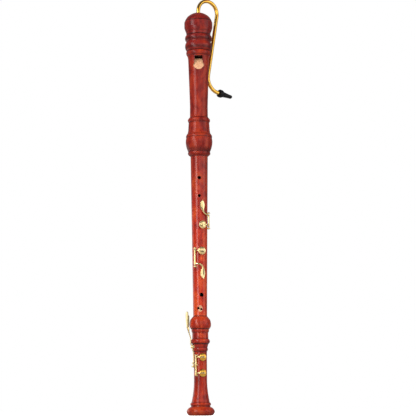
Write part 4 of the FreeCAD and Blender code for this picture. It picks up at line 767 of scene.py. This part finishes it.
for lever_name, (azimuth, touch_out, line) in LEVERS.items():
    bar = Form()
    rows = [(0.0, -out, height, half, 0.88) for out, height, half in line]
    bar.strap(rows, around(azimuth), Vector((1, 0, 0)))
    boss = [
        (PIN_BORE, -BOSS_HALF), (2.1, -BOSS_HALF), (2.3, -1.6),
        (2.3, 1.6), (2.1, BOSS_HALF), (PIN_BORE, BOSS_HALF),
    ]
    bar.turned([Vector(p) for p in boss], around(azimuth) @ shift(0, PIN_OUT, PIN_HIGH) @ SIDEWAYS,
               wrap=True, segments=36)
    bar.finish(lever_name + "_lever_bar_bent", lever_name + "_lever", "key_brass", KEY_BRASS,
               lever_name + "_lever_bar")
    touch = Form()
    touch.blade(TOUCH_LINES[lever_name], around(azimuth), touch_out, saddle_backed, bend=False)
    touch.finish(lever_name + "_touch_leaf", lever_name + "_lever", "key_brass", KEY_BRASS,
                 lever_name + "_touch", sharp=60.0)

# Saddles beside the lever pins, and the pins with their chamfered ends
saddles = Form()
pins = Form()
for azimuth, _, _ in LEVERS.values():
    for side in (-1, 1):
        middle = side * (BOSS_HALF + SADDLE_GAP + SADDLE_HALF)
        outline = eased([(SADDLE_BACK, SADDLE_LOW), (SADDLE_FRONT, SADDLE_LOW),
                         (SADDLE_FRONT, SADDLE_TOP), (SADDLE_BACK, SADDLE_TOP)], 1.9)
        rings = []
        for across, inset in ((-SADDLE_HALF, 0.25), (-0.55, 0.0), (0.55, 0.0), (SADDLE_HALF, 0.25)):
            ring = []
            for y, z in outline:
                pull_y = inset if y < -20.0 else 0.0
                pull_z = inset * (1 if z < PIN_HIGH else -1)
                ring.append(around(azimuth) @ Vector((middle + across, y + pull_y, z + pull_z)))
            rings.append(ring)
        saddles.skin(rings)
    half = BOSS_HALF + SADDLE_GAP + 2 * SADDLE_HALF + 0.2
    pin = [
        (0.2, -half), (0.75, -half), (PIN_RADIUS, -half + 0.25),
        (PIN_RADIUS, half - 0.25), (0.75, half), (0.2, half),
    ]
    across_lever = around(azimuth) @ shift(0, PIN_OUT, PIN_HIGH) @ SIDEWAYS
    pins.turned([Vector(p) for p in pin], across_lever, segments=32)
saddles.finish("lever_saddles_filed", "foot", "key_brass", KEY_BRASS, "lever_saddles")
pins.finish("lever_pins_turned", "foot", "steel", STEEL, "lever_pins")

# Thumb rest: a curved plate with a shelf and a ring for the sling, and its two screws
REST_IN, REST_THICK = 17.75, 1.4
REST_LINE = (
    (0.0, 322.1, 4.0, 0.75), (0.0, 322.7, 5.6, 0.9), (0.0, 324.4, 6.7, 1.0), (0.0, 328.0, 7.0, 1.0),
    (0.0, 338.0, 6.6, 1.0), (0.0, 350.0, 6.4, 1.0), (0.0, 359.0, 6.8, 1.0), (0.0, 363.4, 6.4, 1.0),
    (0.0, 365.3, 5.0, 0.9), (0.0, 365.9, 3.0, 0.7),
)
SHELF_LINE = (
    (0.0, -18.2, 327.2, 6.6, 0.95), (0.0, -21.0, 327.0, 6.5, 0.9), (0.0, -25.0, 326.95, 6.3, 0.85),
    (0.0, -29.0, 327.0, 6.5, 0.85), (0.0, -32.0, 327.1, 6.4, 0.95), (0.0, -33.4, 327.15, 5.6, 0.9),
    (0.0, -33.9, 327.15, 4.4, 0.5),
)


def cushioned(across, share):
    """The plate's even thickness, rolled over at its edges."""
    return share * REST_THICK * (0.35 + 0.65 * (1.0 - abs(across) ** 8))


rest = Form()
rest.blade(REST_LINE, around(180.0), REST_IN, cushioned)
rest.strap(SHELF_LINE, around(180.0), Vector((1, 0, 0)))
eye = eased([(4.0, -1.5), (6.6, -1.5), (6.6, 1.5), (4.0, 1.5)], 1.1, closed=True, steps=6)
rest.turned(eye, around(180.0) @ shift(0, REST_IN + 6.6, 356.0) @ SIDEWAYS, wrap=True, segments=72)
rest.finish("thumb_rest_formed", "middle", "key_brass", KEY_BRASS, "thumb_rest")

SCREW_SEAT = REST_IN + REST_THICK - 0.25
SCREW_RADIUS, SLOT_HALF, SLOT_FLOOR = 2.5, 0.3, 0.75
SLOT_EDGE = SLOT_HALF / SCREW_RADIUS
HEAD_CUTS = (
    (-0.98, False), (-0.9, False), (-0.72, False), (-0.5, False), (-0.3, False),
    (-SLOT_EDGE, False), (-SLOT_EDGE, True), (SLOT_EDGE, True), (SLOT_EDGE, False),
    (0.3, False), (0.5, False), (0.72, False), (0.9, False), (0.98, False),
)
screws = Form()
for height, turn in ((332.5, 24.0), (344.0, -38.0)):
    place = around(180.0, height) @ OUTWARD @ Matrix.Rotation(math.radians(turn), 4, "Z")
    shank = [(0.2, 12.8), (0.9, 12.75), (1.3, 13.6), (1.3, 19.1), (0.2, 19.1)]
    screws.turned([Vector(p) for p in shank], place, segments=28)
    rings = []
    for share, in_slot in HEAD_CUTS:
        x = share * SCREW_RADIUS
        reach = math.sqrt(SCREW_RADIUS ** 2 - x ** 2)
        ring = [place @ Vector((x, -reach, SCREW_SEAT)), place @ Vector((x, reach, SCREW_SEAT))]
        for step in range(17):
            y = reach * math.cos(math.pi * step / 16)
            dome = 0.45 + 0.85 * max(1.0 - (x * x + y * y) / SCREW_RADIUS ** 2, 0.0) ** 0.7
            rise = min(dome, SLOT_FLOOR) if in_slot else dome
            ring.append(place @ Vector((x, y, SCREW_SEAT + rise)))
        rings.append(ring)
    screws.skin(rings)
screws.finish("thumb_rest_screws_slotted", "middle", "steel", STEEL, "thumb_rest_screws")

# Mouthpiece: a ringed collar, and a stem that flattens towards the lips
MOUTH_LINE = (
    (5.2, 0.0), (8.5, 0.0), (9.0, 0.25), (9.3, 0.9), (9.3, 2.0), (9.1, 2.3), (9.1, 2.6), (9.3, 2.9),
    (9.3, 5.4), (9.1, 5.7), (9.1, 6.0), (9.3, 6.3), (9.25, 7.3), (8.95, 8.0), (8.3, 9.1), (7.5, 10.6),
    (6.9, 12.1), (6.5, 13.8), (6.3, 17.0), (6.15, 24.0), (5.95, 30.0), (5.8, 34.4), (5.55, 35.8),
    (5.0, 36.7), (4.3, 37.0), (3.6, 36.9),
    (3.2, 36.4), (3.2, 18.5), (5.2, 18.5),
)
CROOK_BEARING, MOUTH_TILT = math.radians(38.0), math.radians(98.2)
MOUTH_BASE = (60.55, 0.0, 758.18)
OUTER_ABOVE, FLAT_FROM, FLAT_OVER, FLATNESS = 3.6, 9.0, 24.0, 0.26
mouth_place = (Matrix.Rotation(CROOK_BEARING, 4, "Z") @ Matrix.Translation(MOUTH_BASE)
               @ Matrix.Rotation(MOUTH_TILT, 4, "Y"))
rings = []
for radius, along in MOUTH_LINE:
    flat = 1.0
    if radius > OUTER_ABOVE and along > FLAT_FROM:
        share = min((along - FLAT_FROM) / FLAT_OVER, 1.0)
        flat = 1.0 - FLATNESS * share * share * (3 - 2 * share)
    ring = []
    for step in range(72):
        turn = 2 * math.pi * step / 72
        ring.append(mouth_place @ Vector((radius * flat * math.cos(turn), radius * math.sin(turn), along)))
    rings.append(ring)
mouthpiece = Form()
mouthpiece.skin(rings, wrap=True)
mouthpiece.finish("mouthpiece_moulded", "mouthpiece", "black_plastic", PLASTIC, "mouthpiece")


# ------------------------------------------------------------ stage and light


AIM = Vector((0.0, 0.0, 0.5))
LIGHT_FRONT, LIGHT_BEHIND = 0.12, 0.28
FLOOR_HALF, FLOOR_DROP = 8, 0.0002
FLOOR_GLOW, FLOOR_GLOW_SEEN = 0.04, 0.86


def soft_light(name, bearing, distance, height, width, tall, power, lean=0.0):
    """A soft box at a bearing from the front, positive towards the right; lean tips its top to the left."""
    data = bpy.data.lights.new(name, "AREA")
    data.shape = "RECTANGLE"
    data.size = width
    data.size_y = tall
    data.energy = power
    lamp = bpy.data.objects.new(name, data)
    bpy.context.scene.collection.objects.link(lamp)
    turn = math.radians(bearing)
    lamp.location = (distance * math.sin(turn), -distance * math.cos(turn), height)
    facing = (lamp.location - AIM).to_track_quat("Z", "Y").to_matrix().to_4x4()
    tipped = Matrix.Rotation(math.radians(lean), 4, "Z")
    lamp.matrix_world = Matrix.Translation(lamp.location) @ facing @ tipped
    return lamp


soft_light("key_box", -43.0, 1.7, 0.95, 0.58, 2.2, 23.0, lean=26.0)
soft_light("side_card", 68.0, 1.9, 0.75, 1.45, 2.2, 14.0)
soft_light("upper_card", 17.0, 2.2, 1.10, 2.1, 0.96, 7.0)
soft_light("rear_card", -128.0, 1.4, 0.34, 1.2, 0.6, 2.2)
top_box = soft_light("top_box", -20.0, 1.5, 2.7, 1.6, 1.0, 38.0)
fill_box = soft_light("fill_box", 12.0, 2.6, 0.5, 1.6, 1.2, 18.0)
back_box = soft_light("back_box", 178.0, 2.4, 1.0, 1.6, 1.8, 26.0)
for unseen in (top_box, fill_box, back_box):
    unseen.visible_glossy = False

# White all round for the camera; what lights the object is bright behind it and dim in front.
world = bpy.data.worlds.new("studio")
bpy.context.scene.world = world
world.use_nodes = True
backing = world.node_tree
backing_shader = backing.nodes["Background"]
direction = backing.nodes.new("ShaderNodeTexCoord")
parts = backing.nodes.new("ShaderNodeSeparateXYZ")
backing.links.new(direction.outputs["Generated"], parts.inputs[0])
depth = backing.nodes.new("ShaderNodeMapRange")
depth.interpolation_type = "SMOOTHSTEP"
depth.inputs["From Min"].default_value = -0.25
depth.inputs["From Max"].default_value = 0.60
depth.inputs["To Min"].default_value = LIGHT_FRONT
depth.inputs["To Max"].default_value = LIGHT_BEHIND
backing.links.new(parts.outputs["Y"], depth.inputs["Value"])
rays = backing.nodes.new("ShaderNodeLightPath")
level = backing.nodes.new("ShaderNodeMix")
level.data_type = "FLOAT"
backing.links.new(rays.outputs["Is Camera Ray"], level.inputs["Factor"])
backing.links.new(depth.outputs["Result"], level.inputs["A"])
level.inputs["B"].default_value = 1.0
backing.links.new(level.outputs["Result"], backing_shader.inputs["Strength"])
backing_shader.inputs["Color"].default_value = (1.0, 1.0, 1.0, 1.0)
bpy.context.scene.view_settings.view_transform = "Standard"

floor_mesh = bpy.data.meshes.new("floor")
corners = [(-1, -1), (1, -1), (1, 1), (-1, 1)]
floor_mesh.from_pydata([(x * FLOOR_HALF, y * FLOOR_HALF, 0) for x, y in corners], [], [(0, 1, 2, 3)])
floor = bpy.data.objects.new("floor", floor_mesh)
bpy.context.scene.collection.objects.link(floor)
floor.location.z = CAD_BOX[0].z - FLOOR_DROP
floor_paint = Recipe("floor_paint", roughness=0.8)
floor_cloud = floor_paint.noise((3.0, 3.0, 3.0), detail=2.0)
floor_seen = floor_paint.node("ShaderNodeLightPath").outputs["Is Camera Ray"]
floor_white = floor_paint.ramp(floor_cloud, [(0.2, srgb(246, 246, 246)), (0.8, srgb(250, 250, 250))])
floor_paint.colour(floor_paint.mix(floor_seen, srgb(178, 174, 170), floor_white))
floor_mesh.materials.append(floor_paint.material)
floor_paint.shader.inputs["Emission Color"].default_value = (1.0, 1.0, 1.0, 1.0)
floor_glow = floor_paint.spread(floor_seen, 0.0, 1.0, FLOOR_GLOW, FLOOR_GLOW_SEEN)
floor_paint.link(floor_glow, floor_paint.shader.inputs["Emission Strength"])

camera_data = bpy.data.cameras.new("camera")
camera_data.lens = 127.70
camera_data.sensor_width = 36.0
camera = bpy.data.objects.new("camera", camera_data)
bpy.context.scene.collection.objects.link(camera)
CAMERA_PLACE = (0.0198, -3.4, 0.015)
CAMERA_TILT = math.radians(7.755)
CAMERA_ROLL = math.radians(-0.4)
camera.matrix_world = (Matrix.Translation(CAMERA_PLACE)
                       @ Matrix.Rotation(math.pi / 2 + CAMERA_TILT, 4, "X")
                       @ Matrix.Rotation(CAMERA_ROLL, 4, "Z"))
camera_data.clip_start = 0.05
camera_data.clip_end = 60.0
bpy.context.scene.camera = camera
